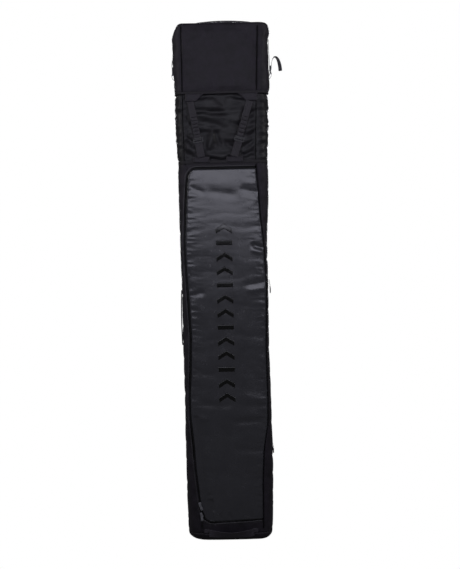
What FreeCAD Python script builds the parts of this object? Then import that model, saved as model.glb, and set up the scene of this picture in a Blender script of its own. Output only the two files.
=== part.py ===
import math
import os

import FreeCAD
import Part
import Sketcher
from FreeCAD import Placement, Rotation, Vector

# A padded ski bag, 1.9 m long, standing on its base panel. +Z runs up its length, -Y is the front with the
# zipped door, +X is the hinge side of the door. The origin is the centre of the base panel's rest face.
# All lengths are millimetres.

DRIVING_SIZES = {
    # The bag's outer form: a flat front and back joined by bulging side gussets.
    "bag_depth": 130,
    "wall": 4,
    "base_height": 30,
    "base_flat": 108,
    "base_bulge": 14,
    "base_depth": 96,
    "foot_flat": 130,
    "foot_bulge": 24,
    "belly_low_height": 440,
    "belly_flat": 150,
    "belly_low_bulge": 6,
    "belly_high_height": 1100,
    "belly_high_bulge": 9,
    "body_height": 1372,
    "neck_flat": 134,
    "neck_bulge": 29,
    # The sleeve of thin cloth that lets the bag be shortened, and the hood above it.
    "sleeve_wall": 1.6,
    "hood_start": 1624,
    "hood_flat": 137,
    "hood_bulge": 35,
    "hood_shoulder": 1826,
    "hood_shoulder_depth": 122,
    "hood_top": 1880,
    "hood_top_bulge": 26,
    "hood_top_depth": 112,
    "joint_gap": 0.5,
    # The door: its outline in the front plane, with round corners on the zipped side.
    "door_thickness": 5,
    "door_top": 1350,
    "door_bottom": 79,
    "door_top_right": 116,
    "door_belly_right": 145,
    "door_belly_top": 1000,
    "door_belly_bottom": 420,
    "door_waist_right": 127,
    "door_waist_height": 324,
    "door_foot_right": 119,
    "door_belly_left": 141,
    "door_shoulder_height": 1100,
    "door_low_left": 136,
    "door_low_height": 446,
    "top_corner_across": 99,
    "top_corner_height": 1320,
    "top_corner_radius": 30,
    "foot_corner_across": 61,
    "foot_corner_height": 110,
    "foot_corner_radius": 40,
    "tape_width": 5,
    "coil_gap": 1.6,
    "cutout_offset": 11,
    "hinge_gap": 0.5,
    "zip_end_right": 110,
    # Webbing, patches and handles.
    "webbing": 25,
    "webbing_thick": 1.6,
    "hook_webbing": 28,
    "patch_thick": 1.2,
    "loop_pitch": 14,
    "loop_height": 3,
    "loop_count": 8,
    "top_handle_half": 92,
    "top_handle_middle": 10,
    "top_handle_rise": 11.5,
    "bottom_handle_half": 84,
    "bottom_handle_low": 15,
    "bottom_handle_rise": 17,
    "side_handle_half": 100,
    "side_handle_height": 812,
    "side_handle_rise": 8,
    "handle_webbing": 28,
    "handle_thick": 2.6,
    # Hardware.
    "slider_length": 17,
    "slider_width": 11,
    "slider_thick": 2.6,
    "pull_length": 22,
    "cord_grip_length": 20,
    "ring_wire": 3.6,
    "ring_width": 32,
        "lock_width": 33,
    "lock_length": 30,
    "lock_thick": 4.5,
}

doc = FreeCAD.newDocument("ski_bag")
sheet = doc.addObject("Spreadsheet::Sheet", "dims")
for row, (alias, size) in enumerate(DRIVING_SIZES.items(), start=1):
    sheet.set(f"A{row}", alias)
    sheet.set(f"B{row}", str(size))
    sheet.setAlias(f"B{row}", alias)
doc.recompute()

SUB_PARTS = []


def ex(text):
    """An expression in which the names of the sheet's cells stand for those cells."""
    text = str(text)
    out, word = "", ""
    for char in text + " ":
        if char.isalnum() or char == "_":
            word += char
            continue
        out += f"dims.{word}" if word in DRIVING_SIZES else word
        word = ""
        out += char
    return out.strip()


def size(text):
    """The same expression's value now, for shapes that are set in code and for starting geometry."""
    value = sheet.evalExpression(ex(text))
    return float(getattr(value, "Value", value))


def bind(item, **sizes):
    for prop, text in sizes.items():
        item.setExpression(prop, ex(text))
    return item


def sub_part(item, label):
    """Marks an object of the document as one sub-part, which is written to a file of its own."""
    item.Label = label
    SUB_PARTS.append(item)
    return item


def box(name, x, y, z):
    """A block between two expressions along each axis."""
    item = doc.addObject("Part::Box", name)
    for prop, place, (low, high) in zip(("Length", "Width", "Height"), "xyz", (x, y, z)):
        item.setExpression(prop, f"({ex(high)}) - ({ex(low)})")
        item.setExpression(f"Placement.Base.{place}", ex(low))
    return item


def cut(name, base, tool):
    item = doc.addObject("Part::Cut", name)
    item.Base, item.Tool = base, tool
    return item


def common(name, base, tool):
    item = doc.addObject("Part::Common", name)
    item.Base, item.Tool = base, tool
    return item


def fuse(name, *shapes):
    item = doc.addObject("Part::MultiFuse", name)
    item.Shapes = list(shapes)
    return item


def pin_point(sketch, geometry, end, x, y):
    """Ties one point of a sketch to two expressions."""
    for axis, text in (("DistanceX", x), ("DistanceY", y)):
        index = sketch.addConstraint(Sketcher.Constraint(axis, -1, 1, geometry, end, size(text)))
        sketch.setExpression(f"Constraints[{index}]", ex(text))


def stadium(name, height, flat, bulge, depth):
    """A closed section at one height: flat front and back, and a bulging arc at each side."""
    f, s, d = size(flat), size(bulge), size(f"({depth})/2")
    sketch = doc.addObject("Sketcher::SketchObject", name)
    bind(sketch, **{"Placement.Base.z": height})
    radius = (d * d + s * s) / (2 * s)
    centre, angle = f + s - radius, math.asin(d / radius)
    z = Vector(0, 0, 1)
    sketch.addGeometry(Part.LineSegment(Vector(-f, -d, 0), Vector(f, -d, 0)))
    right = Part.Circle(Vector(centre, 0, 0), z, radius)
    sketch.addGeometry(Part.ArcOfCircle(right, -angle, angle))
    sketch.addGeometry(Part.LineSegment(Vector(f, d, 0), Vector(-f, d, 0)))
    left = Part.Circle(Vector(-centre, 0, 0), z, radius)
    sketch.addGeometry(Part.ArcOfCircle(left, math.pi - angle, math.pi + angle))
    for a, b in ((0, 1), (1, 2), (2, 3), (3, 0)):
        sketch.addConstraint(Sketcher.Constraint("Coincident", a, 2, b, 1))
    pin_point(sketch, 0, 1, f"-({flat})", f"-({depth})/2")
    pin_point(sketch, 0, 2, flat, f"-({depth})/2")
    pin_point(sketch, 2, 1, flat, f"({depth})/2")
    pin_point(sketch, 2, 2, f"-({flat})", f"({depth})/2")
    for arc in (1, 3):
        index = sketch.addConstraint(Sketcher.Constraint("Radius", arc, radius))
        half, rise = f"(({ex(depth)}) / 2)", f"({ex(bulge)})"
        sketch.setExpression(f"Constraints[{index}]", f"({half} * {half} + {rise} * {rise}) / (2 * {rise})")
    return sketch


def loft(name, sections):
    item = doc.addObject("Part::Loft", name)
    item.Sections = sections
    item.Solid, item.Ruled = True, True
    return item


def shell(name, sections, thickness, floor=None, roof=None):
    """A tube of cloth between stadium sections. floor and roof are the heights of closed ends inside it."""
    outer = [stadium(f"{name}_outer_{i}", *s) for i, s in enumerate(sections)]
    inner = []
    for i, (height, flat, bulge, depth) in enumerate(sections):
        level = height
        if floor and i == 0:
            level = floor
        if roof and i == len(sections) - 1:
            level = roof
        section = (level, f"{flat}-1", f"{bulge}+1-{thickness}", f"{depth}-2*{thickness}")
        inner.append(stadium(f"{name}_inner_{i}", *section))
    return cut(f"{name}_shell", loft(f"{name}_outer", outer), loft(f"{name}_inner", inner))


def front_sketch(name, points, closed=True):
    """Straight runs between points (x, z) in a plane that faces the front, each point tied to the sheet."""
    sketch = doc.addObject("Sketcher::SketchObject", name)
    sketch.Placement = Placement(Vector(0, 0, 0), Rotation(Vector(1, 0, 0), 90))
    count = len(points)
    for i in range(count):
        a, b = points[i], points[(i + 1) % count]
        start, end = (Vector(size(p[0]), size(p[1]), 0) for p in (a, b))
        sketch.addGeometry(Part.LineSegment(start, end))
    for i in range(count):
        sketch.addConstraint(Sketcher.Constraint("Coincident", i, 2, (i + 1) % count, 1))
        pin_point(sketch, i, 1, *points[i])
    return sketch


def extrude(name, base, start, length):
    """Pushes a front-facing outline forwards from y = start by length."""
    item = doc.addObject("Part::Extrusion", name)
    item.Base = base
    item.DirMode = "Custom"
    item.Dir = Vector(0, -1, 0)
    item.Solid = True
    bind(item, LengthFwd=length)
    item.setExpression("Placement.Base.y", ex(start))
    return item


def front_plate(name, points, back, length):
    return extrude(name, front_sketch(f"{name}_outline", points), back, length)


# ---------------------------------------------------------------- the door's outline


def tangent_touch(point, centre, radius, side):
    """Where a line from a point touches a circle; side is 1 or -1, for the two tangents."""
    away = centre - point
    turn = side * math.asin(radius / away.Length)
    length = math.sqrt(away.Length**2 - radius**2)
    heading = math.atan2(away.y, away.x) + turn
    return point + Vector(math.cos(heading), math.sin(heading), 0) * length


def door_outline():
    """The door's edge, from the top right corner round the hinge side, the foot and the zipped side."""
    sketch = doc.addObject("Sketcher::SketchObject", "door_outline")
    sketch.Placement = Placement(Vector(0, 0, 0), Rotation(Vector(1, 0, 0), 90))
    corners = [
        ("door_top_right", "door_top"),
        ("door_belly_right", "door_belly_top"),
        ("door_belly_right", "door_belly_bottom"),
        ("door_waist_right", "door_waist_height"),
        ("door_foot_right", "foot_corner_height"),
        ("door_foot_right+3", "door_bottom"),
        ("-door_low_left", "door_low_height"),
        ("-door_belly_left", "door_shoulder_height"),
    ]
    spots = [Vector(size(x), size(z), 0) for x, z in corners]
    foot = Vector(-size("foot_corner_across"), size("foot_corner_height"), 0)
    top = Vector(-size("top_corner_across"), size("top_corner_height"), 0)
    foot_radius, top_radius = size("foot_corner_radius"), size("top_corner_radius")
    along_foot = tangent_touch(spots[5], foot, foot_radius, 1)
    up_left = tangent_touch(spots[6], foot, foot_radius, -1)
    at_shoulder = tangent_touch(spots[7], top, top_radius, 1)
    along_top = tangent_touch(spots[0], top, top_radius, -1)
    z = Vector(0, 0, 1)

    def arc(centre, radius, start, end):
        first = math.atan2(start.y - centre.y, start.x - centre.x)
        last = math.atan2(end.y - centre.y, end.x - centre.x)
        return Part.ArcOfCircle(Part.Circle(centre, z, radius), first, last)

    for a, b in zip(spots[:5], spots[1:6]):
        sketch.addGeometry(Part.LineSegment(a, b))
    sketch.addGeometry(Part.LineSegment(spots[5], along_foot))  # 5
    sketch.addGeometry(arc(foot, foot_radius, up_left, along_foot))  # 6
    sketch.addGeometry(Part.LineSegment(up_left, spots[6]))  # 7
    sketch.addGeometry(Part.LineSegment(spots[6], spots[7]))  # 8
    sketch.addGeometry(Part.LineSegment(spots[7], at_shoulder))  # 9
    sketch.addGeometry(arc(top, top_radius, along_top, at_shoulder))  # 10
    sketch.addGeometry(Part.LineSegment(along_top, spots[0]))  # 11
    for a, b in ((0, 1), (1, 2), (2, 3), (3, 4), (4, 5), (7, 8), (8, 9), (11, 0)):
        sketch.addConstraint(Sketcher.Constraint("Coincident", a, 2, b, 1))
    for a, a_end, b, b_end in ((5, 2, 6, 2), (6, 1, 7, 1), (9, 2, 10, 2), (10, 1, 11, 1)):
        sketch.addConstraint(Sketcher.Constraint("Tangent", a, a_end, b, b_end))
    for geometry, corner in zip((0, 1, 2, 3, 4, 5, 8, 9), corners):
        pin_point(sketch, geometry, 1, *corner)
    pin_point(sketch, 6, 3, "-foot_corner_across", "foot_corner_height")
    pin_point(sketch, 10, 3, "-top_corner_across", "top_corner_height")
    for geometry, alias in ((6, "foot_corner_radius"), (10, "top_corner_radius")):
        index = sketch.addConstraint(Sketcher.Constraint("Radius", geometry, size(alias)))
        sketch.setExpression(f"Constraints[{index}]", ex(alias))
    return sketch


def grown(name, outline, by):
    """The same outline, larger all round, as a face."""
    item = doc.addObject("Part::Feature", name)
    item.Shape = Part.Face(outline.Shape.makeOffset2D(size(by), 2, False, False, False))
    return item


FRONT = "-bag_depth/2"
outline = door_outline()
doc.recompute()
tape_edge = grown("door_tape_edge", outline, "tape_width")
coil_edge = grown("body_coil_edge", outline, "tape_width+coil_gap")
body_tape_edge = grown("body_tape_edge", outline, "cutout_offset-joint_gap")
cutout_edge = grown("cutout_edge", outline, "cutout_offset")
hinge_edge = grown("hinge_edge", outline, "hinge_gap")
zip_region = box(
    "zip_region",
    ("-2*door_belly_left", "zip_end_right"),
    (f"{FRONT}-20", f"{FRONT}+20"),
    ("0", "body_height"),
)

# ---------------------------------------------------------------- the main compartment

body_shell = shell(
    "body",
    [
        ("0", "base_flat", "base_bulge", "base_depth"),
        ("base_height", "foot_flat", "foot_bulge", "bag_depth"),
        ("belly_low_height", "belly_flat", "belly_low_bulge", "bag_depth"),
        ("belly_high_height", "belly_flat", "belly_high_bulge", "bag_depth"),
        ("body_height", "neck_flat", "neck_bulge", "bag_depth"),
    ],
    "wall",
    floor="wall",
)
base_zone = box("base_zone", ("-200", "200"), ("-100", "100"), ("-1", "base_height"))
sub_part(common("base_cloth", body_shell, base_zone), "base_panel")
stiffener = box("base_stiffener", ("-base_flat", "base_flat"), ("-38", "38"), ("wall+0.3", "wall+3.3"))
sub_part(stiffener, "base_stiffener")
walls = cut("body_walls", body_shell, base_zone)

back_zone = box(
    "back_zone", ("-foot_flat", "foot_flat"), ("bag_depth/2-wall-1", "bag_depth/2+1"), ("0", "body_height+1")
)
lower_zone = box(
    "lower_front_zone",
    ("-foot_flat", "foot_flat"),
    (f"{FRONT}-1", f"{FRONT}+wall+1"),
    ("0", "door_bottom+6"),
)
upper_zone = box(
    "upper_front_zone",
    ("-neck_flat", "door_top_right"),
    (f"{FRONT}-1", f"{FRONT}+wall+1"),
    ("door_top+cutout_offset", "body_height+1"),
)
cutout_block = extrude("cutout_block", cutout_edge, f"{FRONT}+wall+8", "wall+16")
hinge_block = extrude("hinge_block", hinge_edge, f"{FRONT}+wall+8", "wall+16")
opening = fuse("door_opening", common("zip_cutout", cutout_block, zip_region), hinge_block)
sub_part(common("back_panel_cloth", walls, back_zone), "back_panel")
lower_front = common("lower_front_zone_cloth", walls, lower_zone)
sub_part(cut("lower_front_cloth", lower_front, opening), "lower_front_panel")
sub_part(common("upper_front_cloth", walls, upper_zone), "upper_front_border")
removed = fuse("side_cutouts", back_zone, lower_zone, upper_zone, opening)
sides = cut("body_sides", walls, removed)
for side, x in (("left", ("-200", "0")), ("right", ("0", "200"))):
    zone = box(f"{side}_zone", x, ("-100", "100"), ("0", "body_height+1"))
    sub_part(common(f"{side}_side_panel", sides, zone), f"{side}_side_panel")

# ---------------------------------------------------------------- the door and its zip

sub_part(extrude("door_panel", outline, f"{FRONT}+door_thickness", "door_thickness"), "door_panel")
pad_edge = grown("door_padding_edge", outline, "-12")
padding = extrude("door_padding", pad_edge, f"{FRONT}+door_thickness+3", "3")
sub_part(padding, "door_padding")

tape_back, tape_thick = f"{FRONT}+3.2", "2.2"
door_tape_block = extrude("door_tape_block", tape_edge, tape_back, tape_thick)
door_tape = cut("door_tape_ring", door_tape_block, extrude("door_block", outline, tape_back, tape_thick))
sub_part(common("zip_tape_door_side", door_tape, zip_region), "zip_tape_door_side")
body_tape = cut(
    "body_tape_ring",
    extrude("body_tape_block", body_tape_edge, tape_back, tape_thick),
    extrude("coil_block", coil_edge, tape_back, tape_thick),
)
sub_part(common("zip_tape_body_side", body_tape, zip_region), "zip_tape_body_side")

# ---------------------------------------------------------------- sleeve and hood

sleeve = shell(
    "sleeve",
    [
        ("body_height", "neck_flat", "neck_bulge", "bag_depth"),
        ("hood_start-joint_gap", "hood_flat", "hood_bulge", "bag_depth"),
    ],
    "sleeve_wall",
)
sub_part(sleeve, "sleeve")

hood_shell = shell(
    "hood",
    [
        ("hood_start", "hood_flat", "hood_bulge", "bag_depth"),
        ("hood_shoulder", "hood_flat", "hood_bulge", "hood_shoulder_depth"),
        ("hood_top", "hood_flat", "hood_top_bulge", "hood_top_depth"),
    ],
    "wall",
    roof="hood_top-wall",
)
cap_zone = box("cap_zone", ("-200", "200"), ("-100", "100"), ("hood_top-wall", "hood_top+1"))
sub_part(common("hood_top_panel", hood_shell, cap_zone), "hood_top_panel")
hood_walls = cut("hood_walls", hood_shell, cap_zone)
for face, low, high in (("front", "-100", "0"), ("back", "0", "100")):
    zone = box(f"hood_{face}_zone", ("-hood_flat+1", "hood_flat-1"), (low, high), ("0", "hood_top"))
    sub_part(common(f"hood_{face}_panel", hood_walls, zone), f"hood_{face}_panel")
for side, low, high in (("left", "-200", "-hood_flat+1"), ("right", "hood_flat-1", "200")):
    zone = box(f"hood_{side}_zone", (low, high), ("-100", "100"), ("0", "hood_top"))
    sub_part(common(f"hood_{side}_side_panel", hood_walls, zone), f"hood_{side}_side_panel")

# ---------------------------------------------------------------- length straps on the front


def tilted_strap(name, top, foot, width, thick, back, extra_top=0.0, extra_foot=0.0):
    """A flat strap from one point (x, z) to another, lying in a plane that faces the front."""
    (x1, z1), (x2, z2) = top, foot
    length = math.hypot(x1 - x2, z1 - z2)
    strap = doc.addObject("Part::Box", name)
    bind(strap, Length=width, Width=thick)
    strap.Height = length + extra_top + extra_foot
    lean = math.degrees(math.atan2(x1 - x2, z1 - z2))
    turn = Rotation(Vector(0, 1, 0), lean)
    corner = turn.multVec(Vector(-size(width) / 2, 0, -extra_foot))
    strap.Placement = Placement(Vector(x2, size(back) - size(thick), z2) + corner, turn)
    return strap


def daisy_loops(side, top, foot):
    """The raised loops of a daisy chain: short arches of webbing, one above another."""
    (x1, z1), (x2, z2) = top, foot
    length = math.hypot(x1 - x2, z1 - z2)
    turn = Rotation(Vector(0, 1, 0), math.degrees(math.atan2(x1 - x2, z1 - z2)))
    width, pitch = size("webbing") - 2, size("loop_pitch")
    rise, thick = size("loop_height"), 1.0
    first = 0.5 * (length - pitch * size("loop_count"))
    loops = []
    for i in range(int(size("loop_count"))):
        low = Vector(0, 0.3, first + i * pitch + 0.6)
        high = low + Vector(0, 0, pitch - 1.2)
        crown = (low + high) / 2 + Vector(0, -rise, 0)
        lower_edge, upper_edge = Vector(0, 0, thick), Vector(0, 0, -thick)
        outer = Part.Arc(low, crown, high).toShape()
        step_in = Part.LineSegment(high, high + upper_edge).toShape()
        inner = Part.Arc(high + upper_edge, crown + Vector(0, thick, 0), low + lower_edge).toShape()
        step_out = Part.LineSegment(low + lower_edge, low).toShape()
        loop = Part.Face(Part.Wire([outer, step_in, inner, step_out])).extrude(Vector(width, 0, 0))
        loop.translate(Vector(-width / 2, 0, 0))
        loops.append(loop)
    item = doc.addObject("Part::Feature", f"{side}_daisy_loops")
    item.Shape = Part.Compound(loops)
    item.Placement = Placement(Vector(x2, size(FRONT) - 0.3 - size("webbing_thick"), z2), turn)
    return item


# Each strap runs from a corner patch under the hood's hem, inwards and down to a patch on the body's hem.
LENGTH_STRAPS = {
    "left": {
        "top": (-116, 1598), "foot": (-80, 1396), "hook": (-89, 1450),
        "outer": -134, "inner": -66, "cut": -95,
    },
    "right": {
        "top": (101, 1598), "foot": (41, 1396), "hook": (58, 1452),
        "outer": 128, "inner": 55, "cut": 87,
    },
}
PATCH_BACK = f"{FRONT}-0.3"
for side, strap in LENGTH_STRAPS.items():
    top_z, low_z = "hood_start-0.6", "hood_start-30"
    points = [
        (strap["outer"], top_z), (strap["outer"], low_z), (strap["cut"], low_z), (strap["inner"], top_z),
    ]
    if side == "left":
        points.reverse()
    sub_part(front_plate(f"{side}_upper_patch", points, PATCH_BACK, "patch_thick"), f"{side}_upper_patch")
    ends = (strap["top"], strap["foot"])
    web = tilted_strap(f"{side}_chain_web", *ends, "webbing", "webbing_thick", f"{FRONT}-0.3")
    chain_run = ("body_height+22.5", "hood_start-30.5")
    free_run = box(f"{side}_chain_zone", ("-200", "200"), ("-90", "0"), chain_run)
    chain = fuse(f"{side}_chain", common(f"{side}_chain_run", web, free_run), daisy_loops(side, *ends))
    sub_part(chain, f"{side}_daisy_chain")
    x = strap["foot"][0]
    patch = box(
        f"{side}_lower_patch",
        (f"{x}-30", f"{x}+30"),
        (f"{FRONT}-0.3-patch_thick", f"{FRONT}-0.3"),
        ("body_height+1", "body_height+22"),
    )
    sub_part(patch, f"{side}_lower_patch")
    hook_back = f"{FRONT}-0.3-webbing_thick-loop_height-0.8"
    ends = (strap["hook"], strap["foot"])
    lead = tilted_strap(f"{side}_lead", *ends, "hook_webbing", "webbing_thick", hook_back, 0, 18)
    sub_part(lead, f"{side}_hook_strap")


def wire_hook(name, width, height, wire):
    """A flat hook of bent wire, made in its own axes: the closed bar below, the open lip above."""
    body = doc.addObject("PartDesign::Body", name)
    planes = {f.Role: f for f in body.Origin.OriginFeatures}
    plate = body.newObject("Sketcher::SketchObject", f"{name}_plate")
    plate.AttachmentSupport, plate.MapMode = (planes["XZ_Plane"], ""), "FlatFace"
    half, tall = width / 2, height
    inner = half - wire
    slit = wire * 0.9
    # Outer edge, then a slot for the webbing, open at one side near the top so that a loop can slip in.
    rim = [
        (-half, 0), (half, 0), (half, tall), (-half, tall), (-half, tall - wire), (inner, tall - wire),
        (inner, wire), (-inner, wire),
        (-inner, tall - wire - slit - wire), (inner - slit, tall - wire - slit - wire),
        (inner - slit, tall - wire - slit), (-half, tall - wire - slit),
    ]
    count = len(rim)
    for i in range(count):
        a, b = rim[i], rim[(i + 1) % count]
        plate.addGeometry(Part.LineSegment(Vector(*a, 0), Vector(*b, 0)))
    for i in range(count):
        plate.addConstraint(Sketcher.Constraint("Coincident", i, 2, (i + 1) % count, 1))
    pad = body.newObject("PartDesign::Pad", f"{name}_pad")
    pad.Profile = plate
    pad.Midplane = True
    pad.setExpression("Length", ex("ring_wire-0.6"))
    doc.recompute()
    return body


for side, strap in LENGTH_STRAPS.items():
    hook = wire_hook(f"{side}_hook", 36.0, 17.0, 2.8)
    (x1, z1), (x2, z2) = strap["hook"], strap["foot"]
    turn = Rotation(Vector(0, 1, 0), math.degrees(math.atan2(x1 - x2, z1 - z2)))
    front = size(FRONT) - 0.3 - size("webbing_thick") - size("loop_height")
    front -= 0.8 + size("webbing_thick") + 2.5
    hook.Placement = Placement(Vector(x1, front, z1) + turn.multVec(Vector(0, 0, -4.5)), turn)
    sub_part(hook, f"{side}_hook")

# ---------------------------------------------------------------- handles


def arched_strap(name, half, rise, thick, width):
    """A strap that arches between two ends: drawn edge-on in XY, rising towards +Y, and wide along Z."""
    body = doc.addObject("PartDesign::Body", name)
    planes = {f.Role: f for f in body.Origin.OriginFeatures}
    edge = body.newObject("Sketcher::SketchObject", f"{name}_edge")
    edge.AttachmentSupport, edge.MapMode = (planes["XY_Plane"], ""), "FlatFace"
    span, crown, deep = size(half), size(rise), size(thick)
    chord = (span * span + crown * crown) / (2 * crown)
    inner_crown = crown - deep
    inner_span = span - deep * span / crown * 0.5
    inner_chord = (inner_span**2 + inner_crown**2) / (2 * inner_crown)
    z = Vector(0, 0, 1)
    angle = math.asin(span / chord)
    inner_angle = math.asin(inner_span / inner_chord)
    up = math.pi / 2
    outer_circle = Part.Circle(Vector(0, crown - chord, 0), z, chord)
    inner_circle = Part.Circle(Vector(0, inner_crown - inner_chord, 0), z, inner_chord)
    edge.addGeometry(Part.ArcOfCircle(outer_circle, up - angle, up + angle))
    edge.addGeometry(Part.LineSegment(Vector(-span, 0, 0), Vector(-inner_span, 0, 0)))
    edge.addGeometry(Part.ArcOfCircle(inner_circle, up - inner_angle, up + inner_angle))
    edge.addGeometry(Part.LineSegment(Vector(inner_span, 0, 0), Vector(span, 0, 0)))
    joins = ((0, 2, 1, 1), (1, 2, 2, 2), (2, 1, 3, 1), (3, 2, 0, 1))
    for a, a_end, b, b_end in joins:
        edge.addConstraint(Sketcher.Constraint("Coincident", a, a_end, b, b_end))
    pin_point(edge, 0, 1, half, "0")
    pin_point(edge, 0, 2, f"-{half}", "0")
    pad = body.newObject("PartDesign::Pad", f"{name}_pad")
    pad.Profile = edge
    pad.Midplane = True
    pad.setExpression("Length", ex(width))
    doc.recompute()
    return body


HANDLE_LIFT = 1.6
top_handle = arched_strap(
    "top_handle", "top_handle_half", "top_handle_rise", "handle_thick", "handle_webbing"
)
top_handle.Placement = Placement(
    Vector(size("top_handle_middle"), 0, size("hood_top") + HANDLE_LIFT), Rotation(Vector(1, 0, 0), 90)
)
sub_part(top_handle, "top_handle")
half, middle = "top_handle_half", "top_handle_middle"
across = ("-handle_webbing/2", "handle_webbing/2")
level = ("hood_top", "hood_top+1.3")
low_end = (f"{middle}-{half}-14", f"{middle}-{half}+6")
high_end = (f"{middle}+{half}-6", f"{middle}+{half}+14")
sub_part(box("top_tab_a", low_end, across, level), "top_handle_left_tab")
sub_part(box("top_tab_b", high_end, across, level), "top_handle_right_tab")

bottom_handle = arched_strap(
    "bottom_handle", "bottom_handle_half", "bottom_handle_rise", "handle_thick", "handle_webbing"
)
bottom_handle.Placement = Placement(
    Vector(2, size(FRONT) - HANDLE_LIFT, size("bottom_handle_low") + size("handle_webbing") / 2),
    Rotation(Vector(1, 0, 0), 180),
)
sub_part(bottom_handle, "bottom_handle")
half = "bottom_handle_half"
deep = (f"{FRONT}-1.3", FRONT)
tall = ("base_height", "bottom_handle_low+handle_webbing")
sub_part(box("bottom_tab_a", (f"2-{half}-14", f"2-{half}+6"), deep, tall), "bottom_handle_left_tab")
sub_part(box("bottom_tab_b", (f"2+{half}-6", f"2+{half}+14"), deep, tall), "bottom_handle_right_tab")

side_handle = arched_strap(
    "side_handle", "side_handle_half", "side_handle_rise", "handle_thick", "handle_webbing"
)
SIDE_FACE = -158.2
side_turn = Rotation(Vector(0, 1, 0), -90).multiply(Rotation(Vector(1, 0, 0), 90))
side_handle.Placement = Placement(Vector(SIDE_FACE - HANDLE_LIFT, 0, size("side_handle_height")), side_turn)
sub_part(side_handle, "side_handle")
half, middle = "side_handle_half", "side_handle_height"
face = (f"{SIDE_FACE}-1.3", f"{SIDE_FACE}")
low_end = (f"{middle}-{half}-14", f"{middle}-{half}+6")
high_end = (f"{middle}+{half}-6", f"{middle}+{half}+14")
sub_part(box("side_tab_a", face, across, low_end), "side_handle_lower_tab")
sub_part(box("side_tab_b", face, across, high_end), "side_handle_upper_tab")

# ------------------------------------------------ strap anchors with D-rings, on the hinge side


def d_ring(name):
    """A D-ring in its own axes: the straight bar on X at the origin, the half-round bow hanging down -Z."""
    half = size("ring_width") / 2
    bar = doc.addObject("Part::Cylinder", f"{name}_bar")
    bind(bar, Radius="ring_wire/2", Height="ring_width")
    bar.Placement = Placement(Vector(-half, 0, 0), Rotation(Vector(0, 1, 0), 90))
    bow = doc.addObject("Part::Torus", f"{name}_bow")
    bind(bow, Radius1="ring_width/2", Radius2="ring_wire/2")
    bow.Angle3 = 180
    bow.Placement = Placement(Vector(0, 0, 0), Rotation(Vector(1, 0, 0), -90))
    corners = []
    for place in (-half, half):
        ball = doc.addObject("Part::Sphere", f"{name}_corner")
        bind(ball, Radius="ring_wire/2")
        ball.Placement = Placement(Vector(place, 0, 0), Rotation())
        corners.append(ball)
    return fuse(name, bar, bow, *corners)


RING_ANCHORS = {"upper": 926, "lower": 341}
RING_FACE = 158.2
for level, height in RING_ANCHORS.items():
    patch = box(
        f"{level}_ring_backing",
        (f"{RING_FACE}", f"{RING_FACE}+2.4"),
        ("-webbing/2", "webbing/2"),
        (f"{height}-10", f"{height}+19"),
    )
    loop_block = box(
        f"{level}_ring_loop",
        (f"{RING_FACE}", f"{RING_FACE}+ring_wire+3.8"),
        ("-webbing/2", "webbing/2"),
        (f"{height}-10-ring_wire-4", f"{height}-10"),
    )
    bore = doc.addObject("Part::Cylinder", f"{level}_ring_bore")
    bind(bore, Radius="ring_wire/2+0.3")
    bore.Height = 60
    ring_x, ring_z = RING_FACE + 1.9 + size("ring_wire") / 2, height - 10 - size("ring_wire") / 2 - 2
    bore.Placement = Placement(Vector(ring_x, 30, ring_z), Rotation(Vector(1, 0, 0), 90))
    folded = cut(f"{level}_ring_webbing", fuse(f"{level}_ring_fold", patch, loop_block), bore)
    sub_part(folded, f"{level}_ring_patch")
    ring = d_ring(f"{level}_ring")
    ring.Placement = Placement(Vector(ring_x, 0, ring_z), Rotation(Vector(0, 0, 1), 90))
    sub_part(ring, f"{level}_d_ring")

# ---------------------------------------------------------------- side straps of the hood, with ladder locks


def ladder_lock(name):
    """A ladder lock in its own axes: a frame with two slots in the YZ plane, its lower bar at z = 0."""
    body = doc.addObject("PartDesign::Body", name)
    planes = {f.Role: f for f in body.Origin.OriginFeatures}
    frame = body.newObject("Sketcher::SketchObject", f"{name}_frame")
    frame.AttachmentSupport, frame.MapMode = (planes["YZ_Plane"], ""), "FlatFace"
    wide, long = size("lock_width") / 2, size("lock_length")
    bar = 3.6
    slots = [(bar / 2, long / 2 - bar), (long / 2, long - 1.5 * bar)]
    outlines = [(-wide, wide, -bar / 2, long - bar / 2)]
    outlines += [(-wide + 3.2, wide - 3.2, low, high) for low, high in slots]
    for left, right, low, high in outlines:
        spots = [(left, low), (right, low), (right, high), (left, high)]
        first = frame.GeometryCount
        for i in range(4):
            frame.addGeometry(Part.LineSegment(Vector(*spots[i], 0), Vector(*spots[(i + 1) % 4], 0)))
        for i in range(4):
            frame.addConstraint(Sketcher.Constraint("Coincident", first + i, 2, first + (i + 1) % 4, 1))
            frame.addConstraint(Sketcher.Constraint("Vertical" if i % 2 else "Horizontal", first + i))
    pad = body.newObject("PartDesign::Pad", f"{name}_pad")
    pad.Profile = frame
    pad.Midplane = True
    pad.setExpression("Length", ex("lock_thick"))
    doc.recompute()
    return body


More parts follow.
